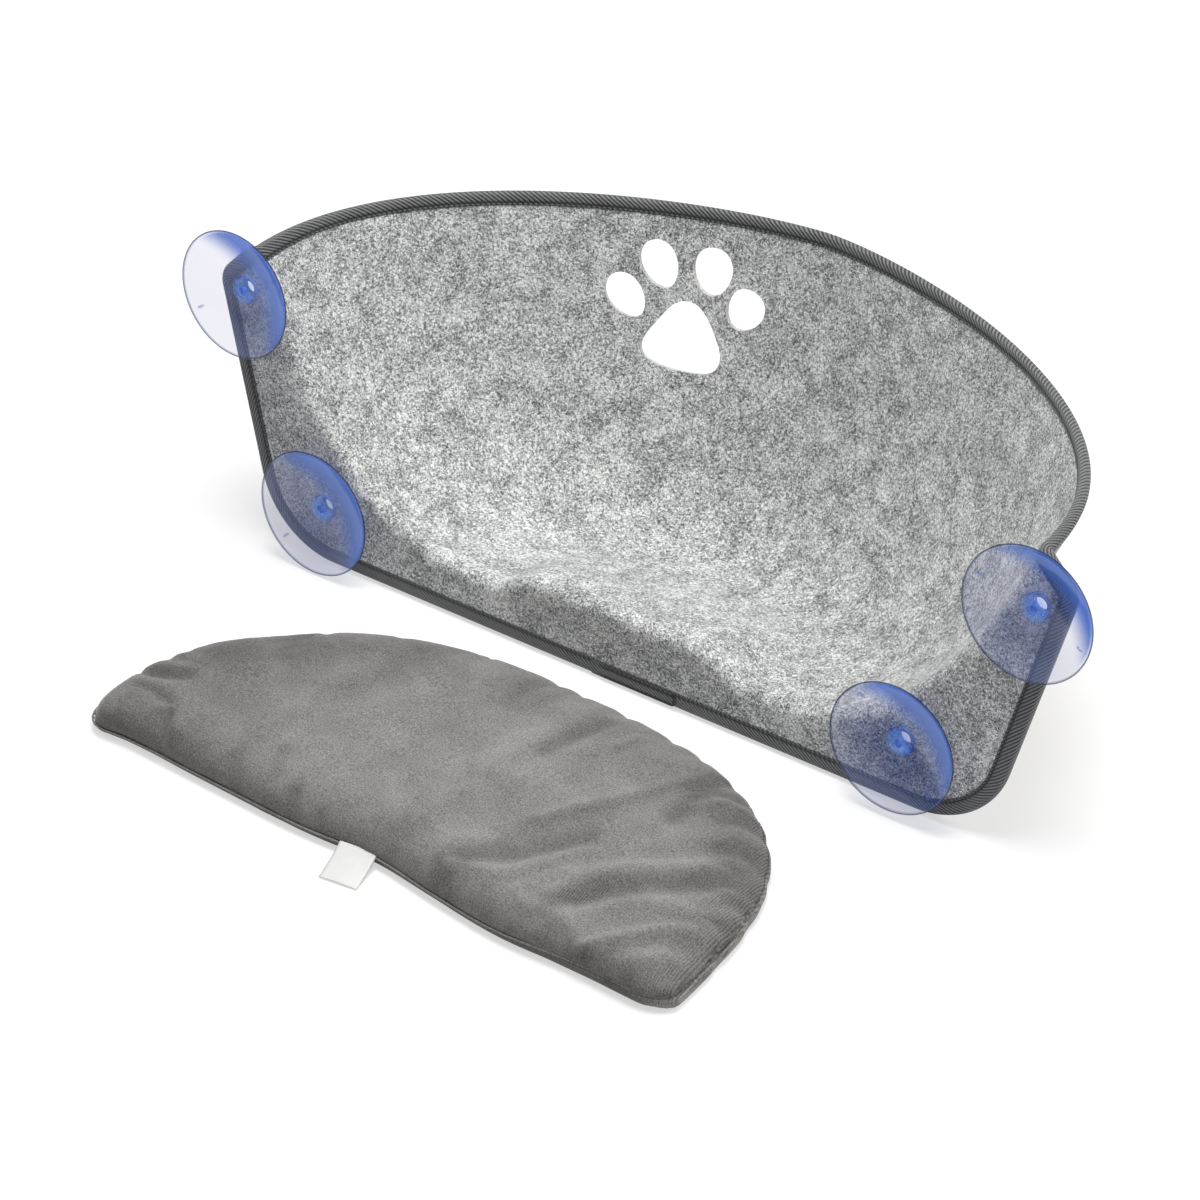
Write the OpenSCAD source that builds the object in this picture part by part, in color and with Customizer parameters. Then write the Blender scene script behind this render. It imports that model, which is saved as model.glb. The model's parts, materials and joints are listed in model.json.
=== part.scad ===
// Window perch for a cat: a moulded felt bowl with a flange that faces the window,
// four suction cups that turn in the flange, tape round every edge, and a loose D-shaped cushion.
// The perch stands on the table and leans back until the underside of its bowl touches.
// The cushion lies in front of it.

/* [Felt bowl] */
// Width of the bowl between its two upper front corners
bowl_w = 568; // [556:1:580]
// Depth of the rim behind the window plane
bowl_depth = 214; // [200:1:225]
// Height of the rim at the window plane
rim_front_h = 199; // [190:1:206]
// Height of the rim at the middle of the back wall
rim_back_h = 219; // [210:1:240]
// Height of the floor's front edge above the flange's lower edge
floor_h = 32; // [28:1:36]
// Fall of the floor from front to back, if it ran on under the rim
floor_fall = 18; // [10:1:20]
// Thickness of the felt
felt_t = 5; // [4:0.5:6]
// Radius of the bend between flange and bowl, on the window side
bend_r = 8; // [7:0.5:10]
// Roundness of the bowl's outline from side to side: 2 is an ellipse, less is more pointed
outline_x_share = 1.56; // [1.5:0.02:1.8]
// Roundness of the bowl's outline from front to back
outline_y_share = 2.08; // [1.9:0.02:2.3]
// Share of the way to the rim at which the floor begins to curve up
floor_share = 0.22; // [0.15:0.01:0.3]

/* [Raised front] */
// Height of the raised middle of the floor's front edge
crown_h = 15; // [8:1:18]
// Width of the raised middle, along its top
crown_w = 120; // [80:5:150]
// Width of the slope at each end of the raised middle
crown_slope_w = 35; // [20:5:50]
// Distance that the raised middle reaches back into the floor
crown_reach = 95; // [60:5:130]

/* [Flange] */
// Reach of each ear outward of the bowl's upper front corners
ear_reach = 27; // [26:0.5:30]
// Height of the rim's front ends above the ears' outer corners
ear_drop = 23; // [20:1:25]
// Distance of the flange's lower corners inward of the bowl's upper front corners, if they were sharp
corner_inset = 18; // [14:1:24]
// Radius of the flange's lower corners
corner_r = 60; // [50:1:64]
// Radius of the ears' outer corners
ear_r = 14; // [12:1:16]

/* [Edge tape] */
// Width of the tape on each face of the felt
tape_w = 9.5; // [8:0.5:10]
// Thickness of the tape
tape_t = 1; // [0.8:0.1:1.2]
// Length of the lap where the tape's end covers its beginning
lap_len = 44; // [30:1:60]
// Distance of the lap's middle from the middle of the lower edge
lap_x = -10; // [-40:1:40]

/* [Suction cups] */
// Diameter of a cup at its lip
cup_d = 85; // [80:1:88]
// Width of the flat lip that meets the glass
lip_w = 1.5; // [1.2:0.1:2]
// Depth of a cup's hollow
cup_depth = 8; // [6:0.5:9]
// Thickness of a cup's edge
cup_edge_t = 1.2; // [1:0.1:1.5]
// Thickness of a cup at its middle
cup_mid_t = 2.6; // [2:0.1:3]
// Distance of the lip from the felt
stand_off = 14; // [13:0.5:16]
// Diameter of the boss behind a cup
boss_d = 16; // [15:0.5:16.5]
// Diameter of the neck that passes through the felt
neck_d = 9.5; // [8:0.5:10]
// Diameter of the head that holds a neck in the felt
head_d = 15; // [14:0.5:16]
// Thickness of the head
head_t = 5.5; // [4:0.5:7]
// Diameter of the dimple in the middle of the hollow
dimple_d = 4.5; // [3:0.5:6]
// Depth of the dimple
dimple_depth = 3; // [2:0.5:3.5]
// Distance of the upper holes outward of the bowl's upper front corners
top_hole_out = 4.5; // [3:0.5:5]
// Height of the rim's front end above the upper left hole
left_top_hole_drop = 27; // [27:1:34]
// Height of the rim's front end above the upper right hole
right_top_hole_drop = 35; // [28:1:36]
// Distance of the lower left hole inward of the flange's lower corner
left_low_hole_in = 41; // [34:1:54]
// Distance of the lower right hole inward of the flange's lower corner
right_low_hole_in = 57; // [48:1:60]
// Height of the lower left hole
left_low_hole_z = 39; // [39:0.5:46]
// Height of the lower right hole
right_low_hole_z = 43; // [39:0.5:46]

/* [Paw cut-out] */
// Distance of the paw's middle from the perch's middle
paw_x = -85; // [-110:1:-60]
// Height of the middle of the rim's back above the paw's middle
paw_drop = 61; // [56:1:75]
// Height of the paw's pad
pad_h = 46; // [38:1:52]
// Width of the paw's pad
pad_w = 54; // [44:1:60]
// Height of a large toe
toe_h = 32; // [26:1:34]
// Width of a large toe
toe_w = 24; // [20:1:27]

/* [Cushion] */
// Length of the cushion along its straight edge
cushion_l = 450; // [400:5:480]
// Depth of the cushion from its straight edge to its curved edge
cushion_w = 186; // [160:1:200]
// Height of the cushion at its crown
cushion_h = 24; // [20:1:32]
// Height of the seam between the two cloth panels
seam_h = 8; // [6:0.5:10]
// Radius of the two corners at the ends of the straight edge
cushion_corner_r = 14; // [8:1:24]
// Width of the side that rolls from the seam up to the crown
roll_w = 32; // [24:1:44]
// Width of the side that rolls from the seam down to the table
base_roll_w = 13; // [8:1:20]
// Depth of the gathers along the seam
gather_depth = 2; // [1:0.2:3]
// Number of gathers along the seam
gathers = 13; // [9:1:17]
// Thickness of the cover's cloth
cloth_t = 1; // [0.8:0.1:1.5]
// Width of the sewn-in label
label_w = 26; // [20:1:30]
// Length of the label outside the seam
label_l = 24; // [20:1:34]
// Thickness of the folded label
label_t = 0.8; // [0.6:0.1:1.2]
// Distance of the label to the left of the cushion's middle
label_left = 17; // [0:1:40]
// Turn of the label on the seam, in degrees
label_turn = 9; // [0:1:15]
// Gap between the cushion's curved edge and the perch
cushion_gap = 26; // [20:1:60]
// Distance of the cushion's middle to the left of the perch's middle
cushion_left = 25; // [0:1:40]
// Turn of the cushion on the table, in degrees
cushion_turn = -2.3; // [-8:0.1:0]

/* [Hidden] */
$fn = 96;
// Running clearance round a neck, and the play of a neck along its own axis
neck_clearance = 0.05;
neck_play = 0.3;
// Clearance between pieces that lie against each other, and round the filling
seat = 0.25;
filling_gap = 1.2;
// Overrun of a cut past the faces that it opens
overrun = 2;
// Numbers of columns across the bowl, rows from bend to rim, and steps round the bend
cols = 56;
rows = 12;
bends = 3;
// Largest share of the flange's height that lies under the first row
tape_line_share = 0.6;
// Share by which the rows crowd towards the rim
crowd_share = 1.7;
half_w = bowl_w / 2;
rim_run = bowl_depth - bend_r;
slope_steps = 2500;
probe = half_w / slope_steps;
paw_z = rim_back_h - paw_drop;

// Small vector helpers
function unit(v) = v / norm(v);
function fade(t) = let (c = min(max(t, 0), 1)) 1 - c * c * (3 - 2 * c);
function running(path) = [for (i = 0, s = 0; i < len(path);
    s = s + (i + 1 < len(path) ? norm(path[i + 1] - path[i]) : 0), i = i + 1) s];
function along(path, sums, s) = let (k = max([for (i = [0:len(path) - 2]) if (sums[i] <= s) i]))
    path[k] + (path[k + 1] - path[k]) * min((s - sums[k]) / (sums[k + 1] - sums[k]), 1);
function lean_over(p) = [p[0], p[1] * cos(lean) + p[2] * sin(lean), p[2] * cos(lean) - p[1] * sin(lean)];

// The bowl's front face as heights over the plan, x across and y behind the window plane
function x_part(x) = pow(abs(x) / half_w, outline_x_share);
function y_part(y) = pow(max(y - bend_r, 0) / rim_run, outline_y_share);
function rim_y(x) = bend_r + rim_run * pow(max(1 - x_part(x), 0), 1 / outline_y_share);
function rim_z(y) = rim_front_h + (rim_back_h - rim_front_h) * (y - bend_r) / rim_run;
function crown_z(x, y) = crown_h * fade((abs(x) - crown_w / 2) / crown_slope_w)
    * fade((y - bend_r) / crown_reach);
function floor_z(x, y) = floor_h - floor_fall * (y - bend_r) / rim_run + crown_z(x, y);
function climb(x, y) = pow(max(x_part(x) + y_part(y) - floor_share, 0) / (1 - floor_share), 2);
function bowl_z(x, y) = floor_z(x, y) + (rim_z(y) - floor_z(x, y)) * climb(x, y);
function slope_x(x, y) = (bowl_z(x + probe, y) - bowl_z(x - probe, y)) / (2 * probe);
function slope_y(x, y) = (bowl_z(x, y + probe) - bowl_z(x, y - probe)) / (2 * probe);
// The way from the front face into the felt
function inward(x, y) = unit([slope_x(x, y), slope_y(x, y), -1]);

// The crease is the line where the flange and the bowl would meet without the bend
col_x = [for (i = [0:cols]) -half_w * cos(180 * i / cols)];
crease = [for (x = col_x) [x, 0, bowl_z(x, bend_r)]];
crease_up = [for (x = col_x) unit([-slope_x(x, bend_r), 0, 1])];
bend_start = [for (i = [0:cols]) crease[i] - bend_r * crease_up[i]];

// Outline of the flange's right half, from the middle of its lower edge to the end of the ear
low_corner = [half_w - corner_inset, 0, 0];
ear_corner = [half_w + ear_reach, 0, rim_front_h - ear_drop];
ear_end = bend_start[cols];
function round_corner(a, b, c, r, n) = let (
    u = unit(a - b), v = unit(c - b), half = acos(u * v) / 2,
    middle = b + unit(u + v) * r / sin(half),
    from = b + u * r / tan(half), to = b + v * r / tan(half))
    [for (i = [0:n]) let (t = i / n, p = from * (1 - t) + to * t) middle + unit(p - middle) * r];
half_outline = concat([[0, 0, 0]],
    round_corner([0, 0, 0], low_corner, ear_corner, corner_r, 12),
    round_corner(low_corner, ear_corner, ear_end, ear_r, 8), [ear_end]);
outline_sums = running(half_outline);
outline_len = outline_sums[len(outline_sums) - 1];
half_crease = [for (i = [cols / 2:cols]) crease[i]];
crease_sums = running(half_crease);
crease_len = crease_sums[len(crease_sums) - 1];
right_edge = [for (s = crease_sums) along(half_outline, outline_sums, s / crease_len * outline_len)];
flip = [[-1, 0, 0], [0, 1, 0], [0, 0, 1]];
flange_edge = concat([for (i = [cols / 2:-1:1]) flip * right_edge[i]], right_edge);

// Grid of the front face, one row for each line from the flange's edge to the rim
last_row = 2 + bends + rows;
function tape_line(i) = min((tape_w + overrun) / max(norm(bend_start[i] - flange_edge[i]), overrun), tape_line_share);
function flange_point(i, share) = flange_edge[i] + (bend_start[i] - flange_edge[i]) * share;
function bend_point(i, a) = crease[i] + crease_up[i] * bend_r * (sin(a) - 1) + [0, bend_r * (1 - cos(a)), 0];
function bend_way(i, a) = [0, cos(a), 0] - crease_up[i] * sin(a);
function bowl_row_y(i, k) = bend_r + (rim_y(col_x[i]) - bend_r) * (1 - pow(1 - k / rows, crowd_share));
function front_point(i, j) =
    j < 2 ? flange_point(i, j == 0 ? 0 : tape_line(i)) :
    j <= 2 + bends ? bend_point(i, 90 * (j - 2) / bends) :
    let (x = col_x[i], y = bowl_row_y(i, j - 2 - bends)) [x, y, bowl_z(x, y)];
function felt_way(i, j) =
    j < 2 ? [0, 1, 0] :
    j <= 2 + bends ? bend_way(i, 90 * (j - 2) / bends) :
    inward(col_x[i], bowl_row_y(i, j - 2 - bends));
front = [for (i = [0:cols]) [for (j = [0:last_row]) front_point(i, j)]];
back = [for (i = [0:cols]) [for (j = [0:last_row]) front[i][j] + felt_t * felt_way(i, j)]];

// The perch leans back about the tape's lowest edge until the bowl's underside touches
pivot = [0, felt_t + seat, -seat - tape_t];
lean = min([for (i = [1:cols - 1]) for (j = [3 + bends:last_row])
    atan2(back[i][j][2] - pivot[2], back[i][j][1] - pivot[1])]);

// Tape sections: the middle of the felt's edge, the way through the felt and the way in from the edge
tape_skip = 2;
function rim_section(i) = let (
    p = (front[i][last_row] + back[i][last_row]) / 2,
    n = felt_way(i, last_row),
    step = front[min(i + 1, cols)][last_row] - front[max(i - 1, 0)][last_row])
    [p, n, unit(cross(n, step))];
function bend_section(i, a) = let (n = bend_way(i, a), down = i == 0 ? 1 : -1)
    [bend_point(i, a) + n * felt_t / 2, n, unit([crease_up[i][2], 0, -crease_up[i][0]]) * down];
function flange_section(i) = let (
    step = flange_edge[max(i - 1, 0)] - flange_edge[min(i + 1, cols)],
    n = [0, 1, 0])
    [flange_edge[i] + n * felt_t / 2, n, unit(cross(n, step))];
tape_path = concat(
    [for (i = [1:cols - 1]) rim_section(i)],
    [for (j = [bends:-1:0]) bend_section(cols, 90 * j / bends)],
    [for (i = [cols - 1 - tape_skip:-1:1 + tape_skip]) flange_section(i)],
    [for (j = [0:bends]) bend_section(0, 90 * j / bends)]);
half_gap = felt_t / 2 + seat;
tape_profile = [
    [tape_w, -half_gap], [tape_w, -half_gap - tape_t], [0, -half_gap - tape_t],
    [-seat - tape_t, -half_gap], [-seat - tape_t, half_gap], [0, half_gap + tape_t],
    [tape_w, half_gap + tape_t], [tape_w, half_gap], [-seat, half_gap], [-seat, -half_gap]];
tape_rings = [for (s = tape_path) [for (q = tape_profile) s[0] + s[2] * q[0] + s[1] * q[1]]];

// Suction cup profile, radius and height above the glass
boss_h = stand_off - neck_play;
head_seat = stand_off + felt_t + neck_play;
cup_steps = 12;
cup_r = cup_d / 2;
inner_r = cup_r - lip_w;
// Roundness of the hollow, and the head's rounded end as shares of its radius and thickness
hollow_share = 2.2;
head_shares = [[1, 0.3], [0.8, 0.8], [0.5, 1]];
function hollow(t) = cup_depth * (1 - pow(t, hollow_share));
cup_profile = concat(
    [[0, cup_depth + dimple_depth], [dimple_d / 2, cup_depth + dimple_depth], [dimple_d / 2, cup_depth]],
    [for (i = [1:cup_steps]) let (t = i / cup_steps)
        [dimple_d / 2 + (inner_r - dimple_d / 2) * t, hollow(t)]],
    [[cup_r, 0], [cup_r, cup_edge_t / 2]],
    [for (i = [cup_steps:-1:1]) let (t = i / cup_steps)
        [boss_d / 2 + (inner_r - boss_d / 2) * t, hollow(t) + cup_edge_t + (cup_mid_t - cup_edge_t) * (1 - t)]],
    [[boss_d / 2, boss_h], [neck_d / 2, boss_h], [neck_d / 2, head_seat], [head_d / 2, head_seat]],
    [for (s = head_shares) [head_d / 2 * s[0], head_seat + head_t * s[1]]],
    [[0, head_seat + head_t]]);

// Paw outline in shares of its own sizes: toes are middle, width, height and lean in degrees
toe_shares = [[-0.72, -0.05, 0.95, 0.98, 42], [-0.36, 0.46, 1, 1, 28],
    [0.29, 0.48, 1.08, 0.97, 4], [0.73, 0.03, 1.04, 0.86, -28]];
pad_shares = [[0.05, 0.02], [0.17, -0.02], [0.29, -0.16], [0.4, -0.38], [0.5, -0.62], [0.51, -0.8],
    [0.41, -0.94], [0.24, -0.98], [0.02, -0.98], [-0.2, -0.95], [-0.4, -0.88], [-0.49, -0.74],
    [-0.45, -0.56], [-0.31, -0.32], [-0.2, -0.13], [-0.08, -0.01]];
function wall_y(x, z, y0, y1, n) = n == 0 ? (y0 + y1) / 2 : let (m = (y0 + y1) / 2)
    bowl_z(x, m) < z ? wall_y(x, z, m, y1, n - 1) : wall_y(x, z, y0, m, n - 1);
halvings = 16;
paw_y = wall_y(paw_x, paw_z, bend_r, rim_y(paw_x), halvings);
paw_way = inward(paw_x, paw_y);

// Cushion outline, x along the straight edge: the curved edge is squarer at its right end
half_l = cushion_l / 2;
curve_run = cushion_w - cushion_corner_r;
left_power_share = 2;
right_power_share = 3.1;
curve_steps = 28;
corner_steps = 3;
front_steps = 16;
function power(a) = 2 / (cos(a) < 0 ? left_power_share : right_power_share);
function curve_point(a) = [half_l * sign(cos(a)) * pow(abs(cos(a)), power(a)),
    cushion_corner_r + curve_run * pow(sin(a), power(a))];
function corner_point(side, a) = [side * (half_l - cushion_corner_r) + cushion_corner_r * cos(a),
    cushion_corner_r + cushion_corner_r * sin(a)];
function front_point_at(t) = [(half_l - cushion_corner_r) * (2 * t - 1), 0];
cushion_edge = concat(
    [for (i = [1:curve_steps]) curve_point(180 * (i - 0.5) / curve_steps)],
    [for (i = [0:corner_steps - 1]) corner_point(-1, 180 + 90 * i / corner_steps)],
    [for (i = [0:front_steps]) front_point_at(i / front_steps)],
    [for (i = [1:corner_steps]) corner_point(1, 270 + 90 * i / corner_steps)]);
edge_count = len(cushion_edge);
mid_y_share = 0.42;
cushion_mid = [0, cushion_w * mid_y_share];

// The cover rolls up from the seam and then rises slowly to the crown
roll_shares = [0, 0.1, 0.4, 1];
dome_share = 0.25;
gather_reach_share = 1.5;
function gather(i) = gather_depth * (0.5 - 0.5 * cos(360 * gathers * i / edge_count));
function reach(i, drop) = norm(cushion_edge[i] - cushion_mid) - gather(i) / 2 - drop;
function roll(d, w) = sqrt(max(1 - pow(1 - min(d / w, 1), 2), 0));
function at_reach(i, drop, d) = cushion_mid
    + unit(cushion_edge[i] - cushion_mid) * (reach(i, drop) - d);
function flat_point(p, z) = [p[0], p[1], z];
function crown_d(i, j, drop) = j < len(roll_shares) ? roll_w * roll_shares[j] : (reach(i, drop) + roll_w) / 2;
function crown_point(i, j, drop) = let (
    d = crown_d(i, j, drop),
    rise = (1 - dome_share) * roll(d, roll_w) + dome_share * (1 - pow(1 - d / reach(i, drop), 2)),
    dip = gather(i) * sin(180 * sqrt(min(d / roll_w / gather_reach_share, 1))))
    flat_point(at_reach(i, drop, d), seam_h + seat / 2 + (cushion_h - seam_h - seat / 2 - drop) * rise - dip);
base_shares = [0, 0.35, 1];
function base_point(i, j, lift) = let (d = base_roll_w * base_shares[j])
    flat_point(at_reach(i, lift, d), (seam_h - seat / 2) * (1 - roll(d, base_roll_w)) + lift * roll(d, base_roll_w));
function crown_ring(j, drop) = [for (i = [0:edge_count - 1]) crown_point(i, j, drop)];
function base_ring(j, lift) = [for (i = [0:edge_count - 1]) base_point(i, j, lift)];
crown_rings = len(roll_shares);
base_rings = len(base_shares) - 1;
inner_gap = cloth_t + filling_gap;

// A closed skin over a stack of rings, from a point at one end to a point at the other
module loft(rings, first, last) {
    n = len(rings[0]);
    m = len(rings);
    points = concat([for (r = rings) for (p = r) p], [first, last]);
    ends = [for (i = [0:n - 1]) for (f = [[i, (i + 1) % n, n * m],
        [n * (m - 1) + (i + 1) % n, n * (m - 1) + i, n * m + 1]]) f];
    sides = [for (j = [0:m - 2]) for (i = [0:n - 1])
        let (a = j * n + i, b = j * n + (i + 1) % n) for (f = [[a, b + n, b], [a, a + n, b + n]]) f];
    polyhedron(points, concat(sides, ends));
}

// Places on the table: everything is shifted so that the origin lies under the middle of the whole
pivot_z = pivot[2] * cos(lean) - pivot[1] * sin(lean);
perch_back = max([for (r = tape_rings) for (p = r) lean_over(p)[1]]);
function turned_y(p) = p[0] * sin(cushion_turn) + p[1] * cos(cushion_turn);
turned_edge = [for (i = [0:edge_count - 1]) turned_y(at_reach(i, 0, 0))];
cushion_y = -cushion_gap - max(turned_edge);
label_fall = asin((seam_h - label_t) / label_l);
label_out = label_l * cos(label_fall);
label_root = [-label_left, -seat - label_w / 2 * sin(label_turn)];
label_tip = [for (side = [-0.5, 0.5]) turned_y(label_root
    + [label_w * side * cos(label_turn) + label_out * sin(label_turn),
        label_w * side * sin(label_turn) - label_out * cos(label_turn)])];
whole_front = cushion_y + min(concat(turned_edge, label_tip));
centre_y = (whole_front + perch_back) / 2;

module on_table() translate([0, -centre_y, -pivot_z]) rotate([-lean, 0, 0]) children();
module cushion_place() translate([-cushion_left, cushion_y - centre_y, 0]) rotate([0, 0, cushion_turn]) children();

// One skin of triangles over front, back and all edges of the felt; the ends close on the crease
module felt_sheet() {
    n = last_row + 1;
    size = (cols + 1) * n;
    points = concat([for (c = front) for (p = c) p], [for (c = back) for (p = c) p]);
    function id(i, j) = i * n + (i == 0 || i == cols ? min(max(j, 2), 2 + bends) : j);
    quads = concat(
        [for (i = [0:cols - 1]) for (j = [0:last_row - 1])
            [id(i, j), id(i, j + 1), id(i + 1, j + 1), id(i + 1, j)]],
        [for (i = [0:cols - 1]) for (j = [0:last_row - 1])
            [size + id(i, j), size + id(i + 1, j), size + id(i + 1, j + 1), size + id(i, j + 1)]],
        [for (i = [0:cols - 1]) [id(i, 0), id(i + 1, 0), size + id(i + 1, 0), size + id(i, 0)]],
        [for (i = [0:cols - 1])
            [id(i, last_row), size + id(i, last_row), size + id(i + 1, last_row), id(i + 1, last_row)]],
        [for (j = [2:1 + bends]) [id(0, j), size + id(0, j), size + id(0, j + 1), id(0, j + 1)]],
        [for (j = [2:1 + bends]) [id(cols, j), id(cols, j + 1), size + id(cols, j + 1), size + id(cols, j)]]);
    halves = [for (q = quads) for (t = [[q[0], q[1], q[2]], [q[0], q[2], q[3]]])
        if (t[0] != t[1] && t[1] != t[2] && t[2] != t[0]) t];
    polyhedron(points, halves);
}

toe_steps = 24;
module ellipse(w, h) polygon([for (i = [1:toe_steps]) let (a = 360 * i / toe_steps)
    [w / 2 * cos(a), h / 2 * sin(a)]]);

module paw_outline() {
    for (s = toe_shares)
        translate([s[0] * pad_w, s[1] * pad_h]) rotate(s[4]) ellipse(toe_w * s[2], toe_h * s[3]);
    polygon([for (s = pad_shares) [s[0] * pad_w, s[1] * pad_h]]);
}

module paw_cut() {
    depth = felt_t + toe_h;
    translate([paw_x, paw_y, paw_z]) rotate([0, 0, -atan2(paw_way[0], paw_way[1])])
        rotate([90 + asin(paw_way[2]), 0, 0]) translate([0, 0, -depth]) linear_extrude(2 * depth) paw_outline();
}

// Each hole: x, z in the flange
top_hole_x = half_w + top_hole_out;
holes = [[-top_hole_x, rim_front_h - left_top_hole_drop], [top_hole_x, rim_front_h - right_top_hole_drop],
    [left_low_hole_in - low_corner[0], left_low_hole_z], [low_corner[0] - right_low_hole_in, right_low_hole_z]];
module at_hole(h, y) translate([h[0], y, h[1]]) rotate([-90, 0, 0]) children();

// The end of the tape lies over its beginning, on the window side of the lower edge
module tape_lap() {
    lap_h = tape_w + seat;
    translate([lap_x - lap_len / 2, -seat - tape_t, 0]) rotate([90, 0, 0]) linear_extrude(tape_t) union() {
        square([lap_len - lap_h / 2, lap_h]);
        translate([lap_len - lap_h / 2, lap_h / 2]) circle(d = lap_h);
    }
}

module felt_shell() color("darkgray") on_table() difference() {
    felt_sheet();
    for (h = holes)
        at_hole(h, -overrun) cylinder(r = neck_d / 2 + neck_clearance, h = felt_t + 2 * overrun);
    paw_cut();
}

module edge_tape() color("dimgray") on_table() {
    n = len(tape_profile);
    m = len(tape_rings);
    polyhedron([for (r = tape_rings) for (p = r) p], [for (j = [0:m - 1]) for (i = [0:n - 1])
        let (a = j * n + i, b = j * n + (i + 1) % n, c = (j + 1) % m * n + (i + 1) % n, d = (j + 1) % m * n + i)
        for (t = [[a, b, c], [a, c, d]]) t]);
    tape_lap();
}

module suction_cup(h) color("cornflowerblue") on_table()
    at_hole(h, -stand_off) rotate_extrude() polygon(cup_profile);

module top_left_cup() suction_cup(holes[0]);
module top_right_cup() suction_cup(holes[1]);
module low_left_cup() suction_cup(holes[2]);
module low_right_cup() suction_cup(holes[3]);

module cushion_top_cover() color("gray") cushion_place() loft(
    concat([for (j = [crown_rings:-1:0]) crown_ring(j, cloth_t)], [for (j = [0:crown_rings]) crown_ring(j, 0)]),
    flat_point(cushion_mid, cushion_h - cloth_t), flat_point(cushion_mid, cushion_h));

module cushion_base_cover() color("dimgray") cushion_place() loft(
    concat([for (j = [base_rings:-1:0]) base_ring(j, 0)], [for (j = [0:base_rings]) base_ring(j, cloth_t)]),
    flat_point(cushion_mid, 0), flat_point(cushion_mid, cloth_t));

module cushion_filling() color("white") cushion_place() loft(
    concat([for (j = [base_rings:-1:1]) base_ring(j, inner_gap)],
        [for (j = [0:crown_rings]) crown_ring(j, inner_gap)]),
    flat_point(cushion_mid, inner_gap), flat_point(cushion_mid, cushion_h - inner_gap));

module cushion_label() color("whitesmoke") cushion_place()
    translate(flat_point(label_root, seam_h)) rotate([0, 0, label_turn]) rotate([label_fall, 0, 0])
        translate([-label_w / 2, -label_l, -label_t]) cube([label_w, label_l, label_t]);

felt_shell();
edge_tape();
top_left_cup();
top_right_cup();
low_left_cup();
low_right_cup();
cushion_top_cover();
cushion_base_cover();
cushion_filling();
cushion_label();
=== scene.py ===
# A felt window perch for a cat, with its loose velour cushion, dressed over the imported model.
# Sizes in the dictionaries are millimetres. The perch's own frame has x along the flange,
# y from the window into the bowl and z up the flange; toTable() takes it to the scene.
import bpy, bmesh, json, math
import numpy as np
from mathutils import Matrix, Vector
from mathutils.geometry import delaunay_2d_cdt


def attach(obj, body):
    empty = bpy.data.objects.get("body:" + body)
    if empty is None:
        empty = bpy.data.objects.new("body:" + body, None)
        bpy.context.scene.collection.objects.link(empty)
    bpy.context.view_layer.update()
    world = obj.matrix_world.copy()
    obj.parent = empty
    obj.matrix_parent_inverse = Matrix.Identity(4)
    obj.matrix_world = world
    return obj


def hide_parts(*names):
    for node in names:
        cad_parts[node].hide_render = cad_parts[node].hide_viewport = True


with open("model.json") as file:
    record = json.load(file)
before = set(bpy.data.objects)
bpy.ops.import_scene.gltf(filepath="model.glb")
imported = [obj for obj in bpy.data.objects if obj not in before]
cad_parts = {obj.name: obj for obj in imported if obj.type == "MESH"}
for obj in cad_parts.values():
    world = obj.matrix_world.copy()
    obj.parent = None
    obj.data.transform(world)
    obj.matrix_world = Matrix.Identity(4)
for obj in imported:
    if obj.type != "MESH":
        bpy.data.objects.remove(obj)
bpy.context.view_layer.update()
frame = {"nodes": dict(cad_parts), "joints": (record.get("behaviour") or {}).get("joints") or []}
scene = bpy.context.scene
scene.view_settings.view_transform = "Standard"
hinges = {joint["name"]: joint for joint in frame["joints"]}
print("frame loaded:", len(frame["nodes"]), "nodes")

# The perch leans back until its bowl touches the table: the cups' hinges give the lean and the place
perch = {"lowHoleHeight": 39, "cupNames": ["top_left_cup", "top_right_cup", "low_left_cup", "low_right_cup"]}
lowPin = Vector(hinges["low_left_cup_turn"]["pos_m"])
pinWay = hinges["low_left_cup_turn"]["axis"]
leanMatrix = Matrix.Rotation(-math.atan2(pinWay[2], -pinWay[1]), 3, "X")
leanTurn = np.array(leanMatrix).T
perchOrigin = lowPin - leanMatrix @ Vector((lowPin.x, 0, perch["lowHoleHeight"] / 1000))


def toTable(points):  # millimetres in the perch's frame to metres in the scene
    placed = np.asarray(points, float) @ leanTurn / 1000 + np.array(perchOrigin)
    placed[..., 2] = np.maximum(placed[..., 2], 0)  # nothing dips into the table
    return placed


def fromTable(point):
    return np.array(leanMatrix.transposed() @ (Vector(point) - perchOrigin)) * 1000


def unit(v):
    v = np.asarray(v, float)
    return v / np.maximum(np.linalg.norm(v, axis=-1, keepdims=True), 1e-12)


def fade(t):  # 1 to 0 in a soft step
    c = np.clip(t, 0, 1)
    return 1 - c * c * (3 - 2 * c)


def bell(x, wide):
    return np.exp(-(x / wide) ** 2)


def travelled(path):  # the length from the start to each point, by its first three numbers
    return np.concatenate([[0], np.cumsum(np.linalg.norm(np.diff(path[:, :3], axis=0), axis=1))])


def resample(path, step, closed=False):
    path = np.vstack([path, path[:1]]) if closed else np.asarray(path, float)
    lengths = travelled(path)
    count = max(int(round(lengths[-1] / step)), 1)
    places = np.linspace(0, lengths[-1], count + 1)[:count if closed else None]
    return np.stack([np.interp(places, lengths, path[:, k]) for k in range(path.shape[1])], -1)


def ringFaces(count, size, start=0, closed=False):  # quads between rings of points; closed joins the last to the first
    faces = []
    for r in range(count if closed else count - 1):
        a, b = start + r * size, start + (r + 1) % count * size
        faces += [(a + k, a + (k + 1) % size, b + (k + 1) % size, b + k) for k in range(size)]
    return faces


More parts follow.
